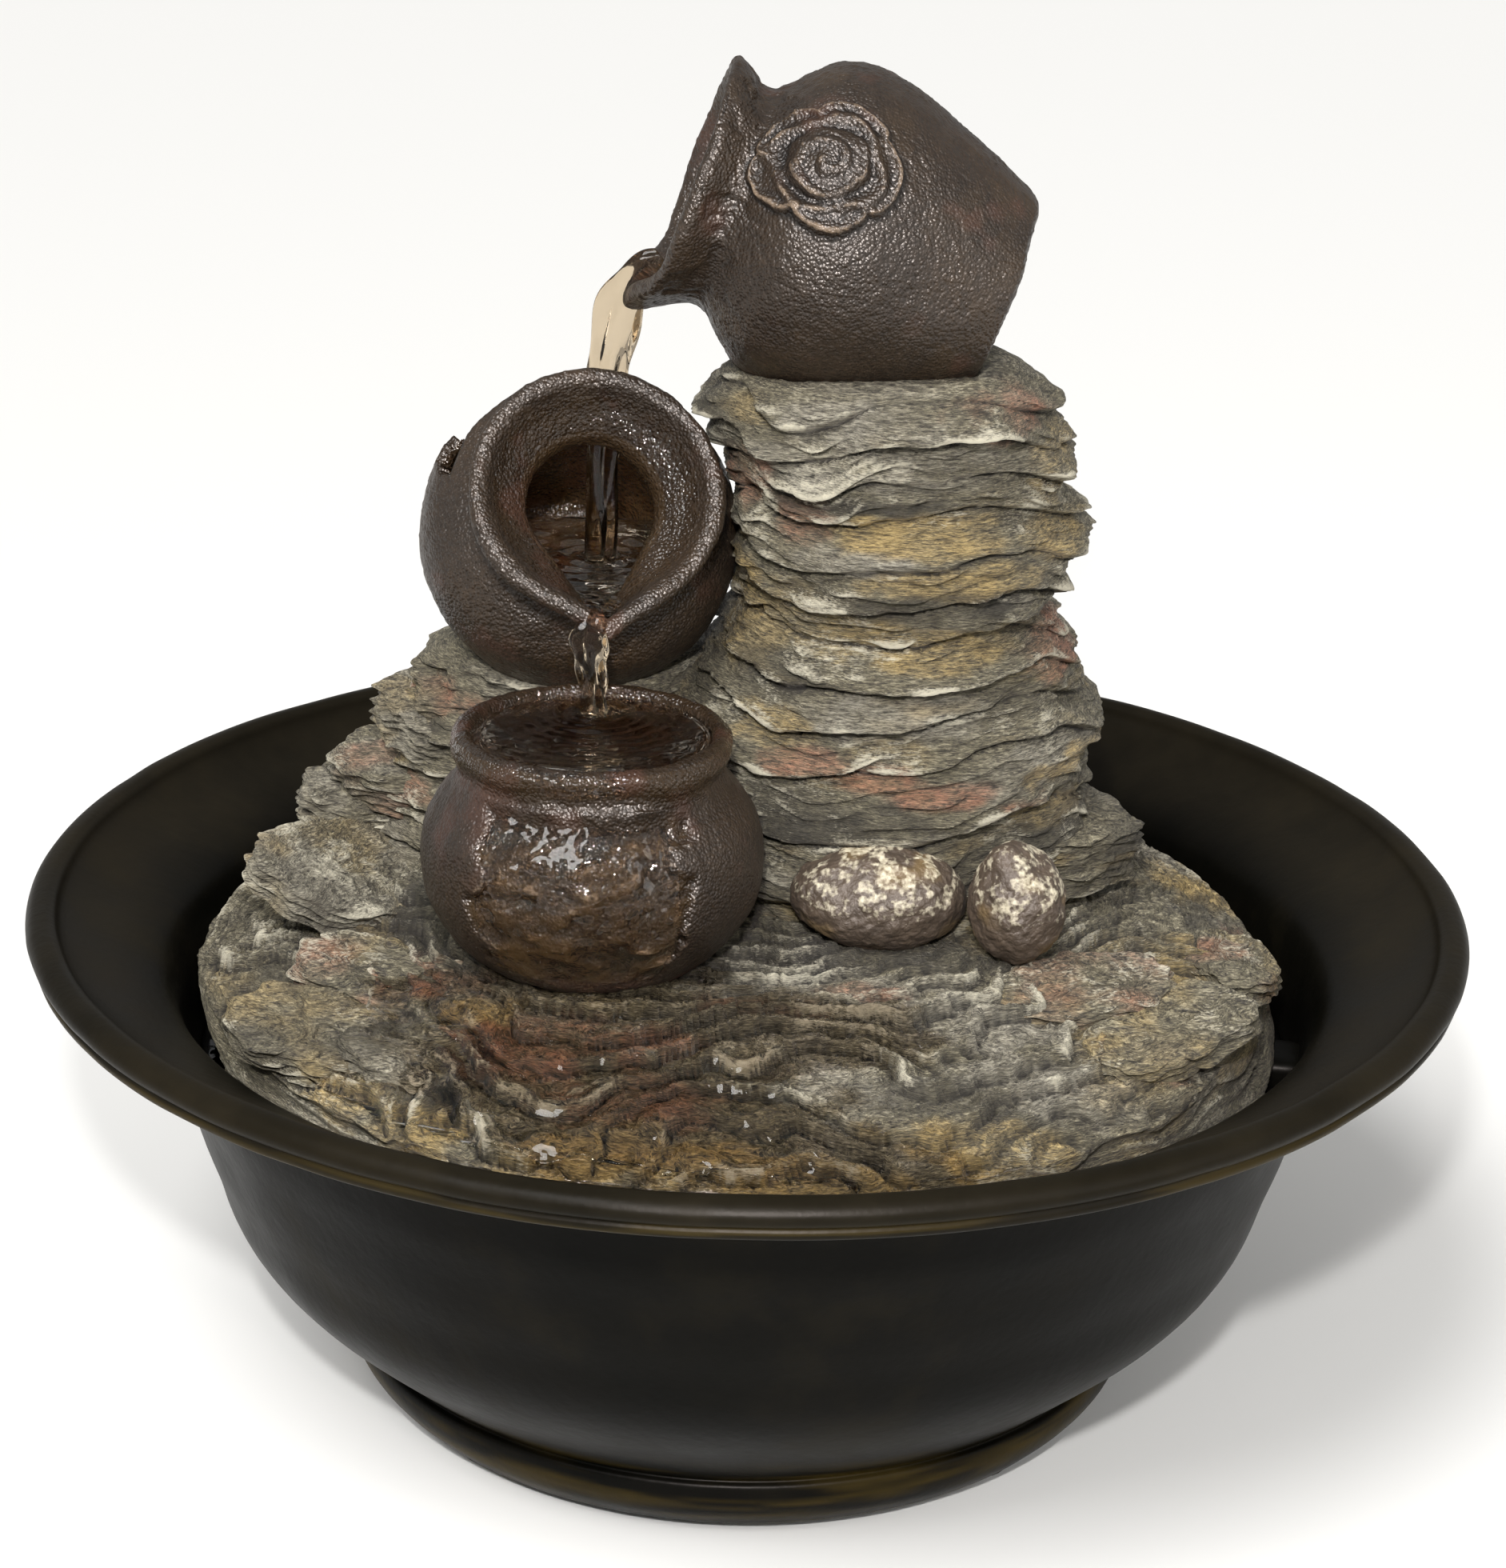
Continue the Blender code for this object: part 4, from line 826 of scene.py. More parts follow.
rockColumn = {
    "axis": (28, 20),
    "carries": upperJug,
    "seat": (203, 222),              # heights between which the jug's underside lies
    "columns": 330,
    "rows": 280,
    # height, then how far the stone reaches to the right, to the left and to the front and back
    "reach": [
        (103, 44, 44, 46), (112, 42, 44, 46), (120, 42, 44, 46), (128, 43, 45, 46), (136, 43, 45, 44),
        (140, 47, 45, 43), (145, 43, 44, 41), (149, 37, 40, 38), (157, 39.5, 36, 38),
        (163, 35, 33, 34), (167, 30, 31, 31), (172, 36, 31, 35), (178, 37, 31, 37),
        (183, 40.5, 31, 38), (188, 36, 31.5, 34), (191, 33, 32.5, 32.5), (199, 36, 35, 35),
        (205, 34, 37.5, 35), (210, 31.5, 37.5, 36), (214, 28, 35, 33), (216.5, 25, 31, 29),
        (217, 22, 28, 26),
    ],
    "slabs": [103, 116, 129, 143, 151, 158, 166, 173, 181, 190, 197, 204, 211, 222],
    "tints": {
        "rust": [
            ((46, 2, 211), (14, 16, 5)), ((-4, 2, 197), (9, 14, 7)), ((3, -12, 191), (12, 10, 6)),
            ((60, 8, 161), (12, 18, 7)), ((10, -18, 143), (12, 12, 3.2)), ((24, -22, 140.5), (13, 12, 3)),
            ((38, -18, 137.5), (12, 12, 2.8)), ((50, -10, 134), (10, 12, 2.8)),
            ((30, 55, 190), (18, 12, 6)), ((-8, 40, 150), (10, 18, 5)), ((60, 40, 178), (12, 14, 4)),
        ],
        "ochre": [
            ((57, 10, 201), (9, 16, 6)), ((32, -16, 189), (26, 12, 4.5)), ((62, 0, 187), (12, 16, 5)),
            ((42, -14, 180), (22, 12, 4)), ((17, -14, 168), (16, 12, 5)), ((38, -14, 165), (16, 12, 4.5)),
            ((3, -16, 148), (10, 12, 5)), ((64, 2, 138), (14, 18, 3.5)), ((58, -4, 129), (13, 14, 3)),
            ((-6, 8, 170), (9, 14, 14)), ((30, 56, 165), (24, 14, 5)), ((66, 40, 150), (12, 20, 6)),
            ((0, 50, 185), (16, 16, 6)), ((40, 60, 130), (24, 14, 6)),
        ],
        "pale": [
            ((17, -14, 211), (20, 14, 5)), ((36, -14, 206), (24, 12, 3.5)), ((20, -14, 200), (26, 12, 3)),
            ((20, -14, 184), (20, 12, 3)), ((58, 4, 141), (20, 20, 6)), ((30, -18, 152), (30, 12, 5)),
            ((44, 56, 205), (24, 14, 5)), ((14, 58, 145), (24, 14, 6)),
        ],
        "dark": [
            ((-8, 14, 205), (10, 20, 8)), ((12, -12, 195), (24, 12, 2.6)), ((33, -12, 175), (30, 14, 3.6)),
            ((10, -20, 131), (30, 12, 6)), ((60, 0, 124), (22, 20, 7)), ((0, -10, 158), (14, 12, 5)),
        ],
    },
}

rockShoulder = {
    "axis": (-40, 32),
    "carries": middleJug,
    "seat": (140, 172),
    "columns": 300,
    "rows": 150,
    "reach": [
        (101, 36, 44, 38), (110, 36, 43, 37), (118, 35, 40, 34), (126, 34, 36, 31), (134, 34, 33, 29),
        (140, 33, 31, 28), (145, 32, 29, 28), (149, 31, 27, 27), (151.5, 28, 24, 24), (152.5, 24, 20, 20),
    ],
    "slabs": [101, 109, 117, 125, 133, 140, 146, 153],
    "tints": {
        "rust": [((-64, 22, 142), (14, 14, 4)), ((-70, 20, 122), (12, 14, 4)),
                 ((-30, 62, 130), (20, 12, 5))],
        "ochre": [((-14, 4, 160), (12, 12, 8)), ((-76, 30, 128), (8, 14, 4)), ((-50, 62, 118), (20, 12, 5)),
                  ((-12, -2, 146), (10, 10, 4))],
        "pale": [((-70, 24, 134), (12, 16, 4)), ((-74, 26, 112), (14, 18, 4)),
                 ((-16, 0, 132), (12, 12, 4))],
        "dark": [((-70, 22, 137.5), (14, 14, 1.6)), ((-74, 24, 117), (14, 14, 2))],
    },
}


def rockMasks(points, high, tints, seed, scale):
    # paint on rock: cream where an edge stands out and the washes in their spots, with painted shade: dark
    # in the cracks
    masks = {key: blotch(points, spots, seed + k * 7) for k, (key, spots) in enumerate(tints.items())}
    stray = roughness3(points, (26, 26, 7), seed + 91, 3)
    masks["ochre"] = np.maximum(masks["ochre"], 0.55 * smoothStep(0.35, 0.9, stray))
    masks["pale"] = np.maximum(masks["pale"], 0.6 * smoothStep(0.3, 0.9, -stray))
    patch = smoothStep(-0.15, 0.7, roughness3(points, (13, 13, 6), seed + 92, 3))
    masks["cream"] = np.clip(high * scale, 0, 1) * (0.35 + 0.65 * patch) + 0.24 * patch
    # painted shade: darker where the surface lies below its neighbours
    masks["painted_crevice_shade"] = np.clip(-high * scale * 1.5 - 0.1, 0, 0.95)
    return masks


def layerNoise(angle, phase, fineness, stride, seed):
    # how far each layer stands out: noise round the stone that is another one for every layer
    around = [np.cos(angle) * fineness, np.sin(angle) * fineness]
    return gridNoise(np.stack([*around, np.floor(phase) * stride], -1), seed)


def makeStack(name, rock, material, seed):
    # stacked slate: r(t, z) = an ellipse that changes with the height, plus three sizes of layer, each a
    # sawtooth in z whose reach changes along the edge; the layers' levels wander with the angle
    t = denseAround(rock["columns"])
    table = np.array(rock["reach"], float)
    low, top = table[0, 0], table[-1, 0]
    heights = np.linspace(low, top, rock["rows"])
    z, angle = np.meshgrid(heights, t, indexing="ij")
    right, left, front = (np.interp(z, table[:, 0], table[:, k]) for k in (1, 2, 3))
    side = left + (right - left) * smoothStep(-0.5, 0.5, np.cos(angle))
    reach = 1 / np.sqrt((np.cos(angle) / side) ** 2 + (np.sin(angle) / front) ** 2)
    flat = np.stack([np.cos(angle) * reach, np.sin(angle) * reach, z], -1)
    wander = 4.0 * roughness3(flat * np.array([1, 1, 0.3]), 34, seed, 2)
    phase = np.interp(z + wander, rock["slabs"], np.arange(len(rock["slabs"])))
    edge = 3.2 * layerNoise(angle, phase, 2.1, 5.3, seed + 1)
    big = (3.4 + edge) * ledge(phase, 0.16) - 2.0
    wander2 = 1.5 * roughness3(flat * np.array([1, 1, 0.5]), 13, seed + 2, 2)
    phase2 = (z + wander + wander2) / 3.1
    flake = layerNoise(angle, phase2, 4.4, 3.7, seed + 3)
    middle = (0.8 + 1.7 * flake) * ledge(phase2, 0.3)
    phase3 = (z + wander * 0.8 + 1.4 * wander2 + 0.8 * gridNoise(flat / 6, seed + 4)) / 1.35
    thin = (0.3 + 0.55 * layerNoise(angle, phase3, 9, 2.9, seed + 5)) * ledge(phase3, 0.4)
    chip = 0.55 * roughness3(flat, (6, 6, 1.6), seed + 6, 3)
    calm = smoothStep(top + 0.5, top - 5, z)
    lift = (big + middle + thin + chip) * calm
    reach = reach + lift
    points = np.stack([
        rock["axis"][0] + reach * np.cos(angle), rock["axis"][1] + reach * np.sin(angle), z,
    ], -1)
    tilted = 0.9 * roughness3(flat, 20, seed + 7, 2) - 0.5 * middle
    points[..., 2] += tilted * smoothStep(low, low + 6, z) * calm
    # cap: rows that close over the top, nearly flat
    shares = np.linspace(1, 0, 16)[1:, None]
    middleTop = np.array([*rock["axis"], top])
    cap = middleTop + (points[-1] - middleTop) * shares[..., None]
    cap[..., 2] += 0.5 * roughness3(cap, 8, seed + 8, 2) * (1 - shares)
    foot = points[:1] * np.array([0, 0, 1]) + np.array([*rock["axis"], 0])
    points = np.vstack([foot, points, cap])
    points = seatFor(rock["carries"], points, *rock["seat"])
    high = np.vstack([np.zeros_like(lift[:1]), ripple(lift, 3), np.zeros(cap.shape[:2])])
    masks = rockMasks(points, high, rock["tints"], seed + 20, 0.62)
    masks["wet"] = 0.9 * blotch(points, [((-16, -14, 130), (14, 16, 30))], seed + 9)
    piece = makePiece(name, points, closedFaces(*points.shape[:2]), masks, material, "rockwork")
    print(name, "made")
    return piece


mound = {
    "centre": (-2.7, 0),
    "columns": 640,
    "topRows": 118,
    # distance from the middle, height of the ground
    "fall": [
        (0, 108.2), (50, 108), (60, 107.5), (72, 105.6), (86, 102.4), (98, 99.2), (106, 96.6), (113, 93),
    ],
    "edge": 112.3,
    # where the pot, the pebbles and the column stand: x, y and size
    "calm": [(-31.5, -35, 24), (30, -29, 16), (54, -33, 10), (28, 20, 30)],
    "filmColumns": (150, 44),        # of the top's grid, before and after the middle of the front
    "filmRows": (62, -4),
    "skirtRows": 33,
    "skirtFoot": 80.3,
    # (radius, height) of the hollow over the pump
    "chamber": [(103, 80.3), (99.2, 80.6), (97, 84), (91, 88), (84, 92), (78, 95.2), (70, 96.6), (40, 97)],
    "tints": {
        "rust": [
            ((-74, -41, 104), (13, 9, 8)), ((-62, -51, 102), (14, 7, 8)), ((-43, -74, 100), (24, 12, 9)),
            ((-20, -92, 97), (20, 9, 9)), ((3, -62, 103), (20, 5, 6)), ((23, -54, 105), (10, 4, 6)),
            ((67, -42, 105), (13, 10, 8)), ((107, -6, 98), (6, 16, 12)), ((80, -60, 100), (12, 9, 8)),
            ((-60, 70, 100), (20, 12, 8)), ((60, 78, 100), (18, 12, 8)), ((-20, -76, 101), (18, 7, 8)),
        ],
        "ochre": [
            ((-88, -84, 97), (22, 7, 10)), ((-66, -98, 97), (18, 8, 10)), ((55, -100, 97), (30, 9, 10)),
            ((74, -55, 101), (18, 8, 8)), ((10, -112, 97), (34, 5, 8)), ((-50, -62, 103), (10, 8, 6)),
            ((90, -30, 101), (10, 20, 8)), ((-30, -108, 97), (30, 6, 8)), ((98, 30, 100), (10, 18, 8)),
            ((-96, 20, 102), (10, 20, 8)), ((30, 92, 100), (26, 10, 8)),
        ],
        "pale": [
            ((42, -61, 103), (24, 10, 8)), ((-5, -67, 101), (24, 7, 8)), ((18, -86, 99), (20, 7, 8)),
            ((60, -80, 100), (22, 10, 8)), ((-80, -62, 101), (16, 8, 8)), ((95, -50, 100), (10, 14, 8)),
            ((-20, 96, 100), (30, 12, 8)), ((88, 52, 100), (14, 20, 8)),
        ],
        "dark": [
            ((-94, -46, 102), (12, 18, 9)), ((-56, -80, 99), (9, 12, 8)), ((33, -88, 99), (18, 6, 8)),
            ((0, -44, 107), (30, 10, 6)), ((-60, -20, 107), (18, 30, 8)), ((32, -32, 107), (30, 14, 6)),
            ((100, 10, 98), (10, 16, 10)),
        ],
    },
    "wetSpots": [
        ((-38, -72, 100), (34, 26, 20)), ((-18, -94, 98), (40, 22, 20)), ((10, -108, 98), (44, 14, 20)),
        ((-34, -52, 106), (36, 22, 20)), ((10, -70, 104), (30, 16, 20)),
    ],
}


def groundHeight(x, y):
    # the mound without its layers: falls with the distance from its middle, and swells behind on the left
    away = np.hypot(x - mound["centre"][0], y - mound["centre"][1])
    frontwards = smoothStep(0.35, 0.95, -(y - mound["centre"][1]) / np.maximum(away, 1))
    table = np.array(mound["fall"], float)
    ground = np.interp(away * (1 - 0.035 * frontwards), table[:, 0], table[:, 1])
    return ground + 3.5 * np.exp(-((x + 62) ** 2 + (y - 28) ** 2) / 800)


def makeMound(material):
    # top: z(r, t) = the ground's fall plus two sizes of overlapping plates, each a sawtooth in the
    # distance from the middle, bent by noise; then a layered skirt, the foot, and the pump's chamber
    t = denseAround(mound["columns"], 0.45)
    shares = np.linspace(0, 1, mound["topRows"]) ** 0.62
    share, angle = np.meshgrid(shares, t, indexing="ij")
    frontwards = smoothStep(0.35, 0.95, -np.sin(angle))
    edge = mound["edge"] + 3.8 * frontwards
    rim3 = np.stack([np.cos(angle), np.sin(angle), angle * 0], -1)
    edge = edge + 1.3 * roughness3(rim3, 0.16, 301, 3) - 0.6
    r = share * edge
    x = mound["centre"][0] + r * np.cos(angle)
    y = mound["centre"][1] + r * np.sin(angle)
    flat = np.stack([x, y, np.zeros_like(x)], -1)
    bend = 12 * roughness3(flat, 38, 311, 2) + 3.6 * roughness3(flat, 12, 312, 3)
    phase = (r + bend) / 8.2
    cut = ledge(-phase, 0.11)
    rise = 4.0 + 2.2 * layerNoise(angle, -phase, 4.4, 4.1, 313)
    big = rise * (cut - 0.5)
    bend2 = bend * 0.9 + 1.4 * roughness3(flat, 5, 314, 2)
    phase2 = (r + bend2 + 0.18 * np.abs(x)) / 2.6
    small = (1.0 + 0.8 * layerNoise(angle, -phase2, 7, 3.3, 315)) * (ledge(-phase2, 0.3) - 0.5)
    chip = 0.24 * roughness3(flat, 3.6, 316, 3)
    # the ground is calm under the pot and the pebbles, and ends level at the rim
    quiet = np.ones_like(x)
    for cx, cy, size in mound["calm"]:
        quiet = quiet * (1 - 0.72 * np.exp(-((x - cx) ** 2 + (y - cy) ** 2) / size ** 2))
    ending = smoothStep(1.0, 0.975, share)
    lift = (big + small * quiet ** 2) * quiet * (0.35 + 0.65 * ending) + chip * 0.8 * quiet
    top = np.stack([x, y, groundHeight(x, y) + lift], -1)

    drop = np.linspace(0, 1, mound["skirtRows"] + 1)[1:, None]
    skirtZ = top[-1, :, 2] * (1 - drop) + mound["skirtFoot"] * drop
    rimAngle = t[None, :]
    rimReach = edge[-1][None, :]
    layer = skirtZ / 2.8 + bend[-1] * 0.1
    skirtLift = 1.5 * layerNoise(rimAngle + 0 * skirtZ, layer, 3, 3.9, 321) * ledge(layer, 0.25)
    taper = drop * (rimReach - 112.6)
    skirtReach = rimReach + skirtLift * smoothStep(0, 0.12, drop) - taper - 0.4
    skirt = np.stack([
        mound["centre"][0] + skirtReach * np.cos(rimAngle) + 2.2 * drop,
        skirtReach * np.sin(rimAngle), skirtZ,
    ], -1)
    chamber = smoothCurve(mound["chamber"], 4)
    reach, around = np.meshgrid(chamber[:, 0], t, indexing="ij")
    hollow = np.stack([
        reach * np.cos(around), reach * np.sin(around), np.repeat(chamber[:, 1:], len(t), axis=1),
    ], -1)
    middle = np.zeros((1, len(t), 3)) + np.array([0, 0, mound["chamber"][-1][1]])
    points = np.vstack([top, skirt, hollow, middle])
    points[0] = points[0].mean(0)
    seen = len(top) + len(skirt)
    unseen = np.zeros((len(points) - seen, len(t)))
    high = np.vstack([ripple(lift, 3) * 0.9, ripple(skirtLift, 2), unseen])
    masks = rockMasks(points, high, mound["tints"], 340, 0.62)
    masks["cream"][:len(top)] *= 0.1 + 0.6 * quiet ** 2
    masks["wet"] = blotch(points, mound["wetSpots"], 351)
    for key in ("ochre", "rust", "cream", "wet"):
        masks[key][seen + 1:] = 0
    piece = makePiece("rock_mound", points, closedFaces(*points.shape[:2]), masks, material, "rockwork")
    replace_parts(piece, "rock_base")
    print("mound made")
    return points[:len(top)]


def makeMoundFilm(top, material):
    # water that runs over the front of the mound: the rock's own surface smoothed and raised a little,
    # so that the ledges stand out of it, over an underside in the rock; it dives under at its edges
    before, after = mound["filmColumns"]
    patch = np.roll(top, before, axis=1)[mound["filmRows"][0]:mound["filmRows"][1], :before + after]
    z = patch[..., 2]
    for _ in range(5):
        padded = np.pad(z, 1, mode="edge")
        z = (padded[:-2, 1:-1] + padded[2:, 1:-1] + padded[1:-1, :-2] + padded[1:-1, 2:]) / 4
    v = np.linspace(0, 1, z.shape[0])[:, None]
    u = np.linspace(-1, 1, z.shape[1])[None, :]
    ragged = 0.12 * roughness3(patch, 12, 641, 2)
    inside = smoothStep(1, 0.75, np.abs(u) + ragged) * smoothStep(-0.02, 0.1, v)
    flow = 0.42 * roughness3(patch, (4.5, 3.2, 4), 642, 2)
    flow = flow + 0.2 * roughness3(patch, (2.2, 1.7, 2.2), 643, 1)
    upper = patch * 1.0
    upper[..., 2] = z + (0.75 + flow) * inside - 1.6 * (1 - inside)
    lower = patch * 1.0
    lower[..., 2] = z - 2.6
    loop = closeEnds(np.hstack([upper, lower[:, ::-1]]))
    return makePiece("mound_water_film", loop, closedFaces(*loop.shape[:2]), None, material, "rockwork")


plates = {
    # name: centre, half length, half width, half thickness, turn, lean across, lean along, seed, tint
    "leaning_slab": ((-83, -3, 109), 25, 15, 3.2, 52, 24, 14, 1, "cream"),
    "rear_slab_low": ((-80, 32, 112), 17, 15, 4.5, 20, 6, 4, 2, "pale"),
    "rear_slab_middle": ((-72, 30, 122), 18, 14, 4.6, -10, 8, -5, 3, "rust"),
    "rear_slab_upper": ((-62, 30, 133), 18, 14, 4.6, 30, 8, 6, 4, "pale"),
    "rear_slab_top": ((-58, 26, 141.5), 15, 12, 3.2, 10, 14, -4, 5, "rust"),
    "front_slab_left": ((-72, -44, 104), 17, 10, 2.2, -28, 8, 5, 6, "rust"),
    "front_slab_outer": ((-84, -62, 99.5), 18, 11, 2.6, -36, 10, 4, 7, "dark"),
    "front_slab_low": ((-62, -74, 100), 14, 9, 2.2, -20, 8, 5, 8, "dark"),
    "right_slab": ((66, -44, 104.2), 19, 10, 2.2, 30, 9, -4, 9, "rust"),
    "right_slab_outer": ((84, -54, 100.3), 19, 10, 2.4, 46, 8, -5, 10, "ochre"),
    "right_slab_edge": ((101, -16, 98.5), 16, 8, 2.6, 80, 4, 8, 11, "rust"),
    "column_step_right": ((62, 8, 117), 17, 15, 6.5, 40, 5, 3, 12, "dark"),
}


def makePlate(name, material):
    # one flake of slate: a flat superellipse with a chipped outline and a layered edge, leaned and turned
    centre, long, wide, thick, turn, leanAcross, leanAlong, seed, tint = plates[name]
    columns, rows = 260, 78
    t = np.linspace(0, fullTurn, columns, endpoint=False)
    v = np.linspace(0, 1, rows)
    v, angle = np.meshgrid(v, t, indexing="ij")
    # v runs from the middle of the underside over the edge to the middle of the top
    section = np.interp(v, [0, 0.16, 0.30, 0.36, 0.62, 0.68, 1], [0, 0.85, 0.97, 1, 1, 0.95, 0])
    height = np.interp(v, [0, 0.16, 0.33, 0.36, 0.62, 0.66, 1], [-1, -1, -0.96, -0.85, 0.8, 0.96, 1])
    circle = np.stack([np.cos(angle), np.sin(angle), seed + angle * 0], -1)
    outline = 1 / (np.abs(np.cos(angle)) ** 2.6 + np.abs(np.sin(angle)) ** 2.6) ** (1 / 2.6)
    outline = outline * (1 + 0.13 * roughness3(circle, 0.8, 401 + seed, 3))
    phase = height * thick / 1.5 + 0.5 * roughness3(circle, 0.5, 402 + seed, 2)
    key = np.stack([np.cos(angle) * 4, np.sin(angle) * 4, np.floor(phase) * 3.1 + seed], -1)
    flake = (1.4 + 1.6 * gridNoise(key, 403 + seed)) * ledge(phase, 0.3)
    flake = flake * smoothStep(0.80, 0.97, section)
    x = long * outline * section * np.cos(angle)
    y = wide * outline * section * np.sin(angle)
    scale = 1 + flake / np.maximum(np.hypot(x, y), 3)
    local = np.stack([x * scale, y * scale, height * thick], -1)
    face = local * np.array([1, 1, 0]) + seed * 40
    bump = roughness3(face, 11, 404, 3)
    contour = roughness3(face, (15, 8, 11), 405, 2)
    step = 0.9 * (ledge(contour * 3.2, 0.2) - 0.5) * smoothStep(0.5, 0.9, v)
    local[..., 2] += bump + step
    a, b, c = (math.radians(value) for value in (turn, leanAcross, leanAlong))
    spin = Matrix.Rotation(a, 3, "Z") @ Matrix.Rotation(b, 3, "X") @ Matrix.Rotation(c, 3, "Y")
    points = local @ np.array(spin).T + np.array(centre)
    points = seatFor(middleJug, points, 138, 172)
    high = ripple(step + 0.4 * bump, 3) + ripple(flake * 0.6, 3)
    tints = {key: [] for key in ("rust", "ochre", "pale", "dark")}
    masks = rockMasks(points, high, tints, 410 + seed, 0.8)
    if tint in masks:
        top = smoothStep(-0.4, 0.5, roughness3(points, 14, 420 + seed, 2)) * 0.8
        if tint == "cream":
            masks["ochre"] = np.maximum(masks["ochre"], 0.6 * top)
            masks["pale"] = np.maximum(masks["pale"], 0.7 * (1 - top))
            masks["cream"] = np.clip(masks["cream"] + 0.12, 0, 1)
        else:
            masks[tint] = np.maximum(masks[tint], top)
    masks["wet"] = blotch(points, mound["wetSpots"], 351)
    piece = makePiece(name, points, closedFaces(*points.shape[:2]), masks, material, "rockwork")


pebbles = {
    # node: middle, radii, how far its top is drawn aside and up
    "pebble_large": ((26.8, -27, 107 + 10.3), (18, 12.5, 10.5), 0.0),
    "pebble_small": ((54.2, -33, 107 + 11.6), (9.8, 10.5, 12), 1.0),
}


def makePebbles(material):
    # ellipsoid with a low swell; the small one has a knob drawn up to the left of its top
    for number, (node, (centre, radii, knob)) in enumerate(pebbles.items()):
        v, u = ballGrid(130, 220)
        ball = np.stack([np.cos(v) * np.cos(u), np.cos(v) * np.sin(u), np.sin(v)], -1)
        swell = 1 + 0.05 * roughness3(ball, 0.9, 501 + number, 2)
        peak = np.exp(-np.sum((ball - np.array([-0.35, -0.25, 0.9])) ** 2, -1) / 0.16)
        dip = np.exp(-np.sum((ball - np.array([0.35, -0.3, 0.9])) ** 2, -1) / 0.12)
        swell += knob * (0.16 * peak - 0.10 * dip)
        pits = 0.35 * roughness3(ball * np.array(radii), 2.6, 511 + number, 3)
        points = ball * swell[..., None] * np.array(radii)
        points = points * (1 + pits / np.maximum(np.linalg.norm(points, axis=-1), 1))[..., None]
        points = points + np.array(centre)
        patch = smoothStep(-0.5, 0.6, roughness3(points, (1.9, 1.9, 1.5), 521 + number, 3))
        above = smoothStep(-0.15, 0.6, ball[..., 2] - 0.35 * ball[..., 1])
        masks = {
            "cream": above * (0.35 + 0.6 * patch),
            "ochre": 0.7 * smoothStep(0.1, 1.0, roughness3(points, 7, 531, 2)),
        }
        faces = closedFaces(*points.shape[:2])
        piece = makePiece(node + "_stone", points, faces, masks, material, "rockwork")
        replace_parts(piece, node)
    print("pebbles made")


potPool = {
    "centre": (-31.5, -35, 153.2),
    "radius": 23.8,
    "depth": 9,
    "waves": 0.45,
    "source": (-0.8, 13.5),          # where the stream falls in, from the centre
}

jugPool = {
    "level": 172.6,
    "reach": (-19.5, 50),            # along y, from over the spout to the back of the jug
    "depth": 7,
    "source": (-33, 21),
}

streams = {
    "upper_stream": {
        "path": [
            (-20.5, 20, 236.5), (-25, 20, 233), (-28.6, 20, 226), (-31, 20, 216), (-32.3, 20, 204),
            (-33, 20, 192), (-33.3, 20, 171.8),
        ],
        "widths": [4.5, 7, 9, 8.6, 8, 7.5, 7],
        "thick": 4.2,
        "twist": 0.8,
    },
    "middle_stream": {
        "path": [
            (-32.3, -15.5, 172.2), (-32.4, -18.8, 170.6), (-32.5, -20.8, 166.5), (-32.4, -21.4, 162),
            (-32.3, -21.6, 157), (-32.3, -21.6, 152.4),
        ],
        "widths": [5, 6.5, 7, 6, 5.6, 6.2],
        "thick": 3.6,
        "twist": 0.9,
    },
}

reservoir = {
    "level": 74,
    "radius": 115.6,
    "waves": 0.22,
    # (radius, height) of the bowl's inner wall, half a millimetre inside it
    "wall": [
        (0, 10.8), (40, 10.8), (70, 11), (78, 12.5), (84, 16.8), (91, 23.8), (98.5, 30.8), (104.4, 37.8),
        (107.6, 45.8), (109.9, 54), (112.6, 62), (115.0, 71), (115.6, 73.4),
    ],
}


def makePool(name, pool, material):
    # a disc of water: rings run out from where the stream falls in, over a lens of the given depth
    columns, rows = 200, 70
    t = np.linspace(0, fullTurn, columns, endpoint=False)
    share, angle = np.meshgrid(np.linspace(0, 1, rows), t, indexing="ij")
    x = pool["radius"] * share * np.cos(angle)
    y = pool["radius"] * share * np.sin(angle)
    away = np.hypot(x - pool["source"][0], y - pool["source"][1])
    rings = np.sin(away * 1.9) * np.exp(-away / 14)
    rings = rings + 0.5 * roughness3(np.stack([x, y, x * 0], -1), 3.6, 601, 2)
    atX, atY, level = pool["centre"]
    z = level + pool["waves"] * rings * smoothStep(1.0, 0.9, share)
    top = np.stack([x + atX, y + atY, z], -1)
    under = top[::-1] * 1.0
    under[..., 2] = level - pool["depth"] * np.sqrt(np.clip(1 - share[::-1] ** 2, 0, 1))
    points = np.vstack([top, under[1:]])
    return makePiece(name, points, closedFaces(*points.shape[:2]), None, material, "rockwork")


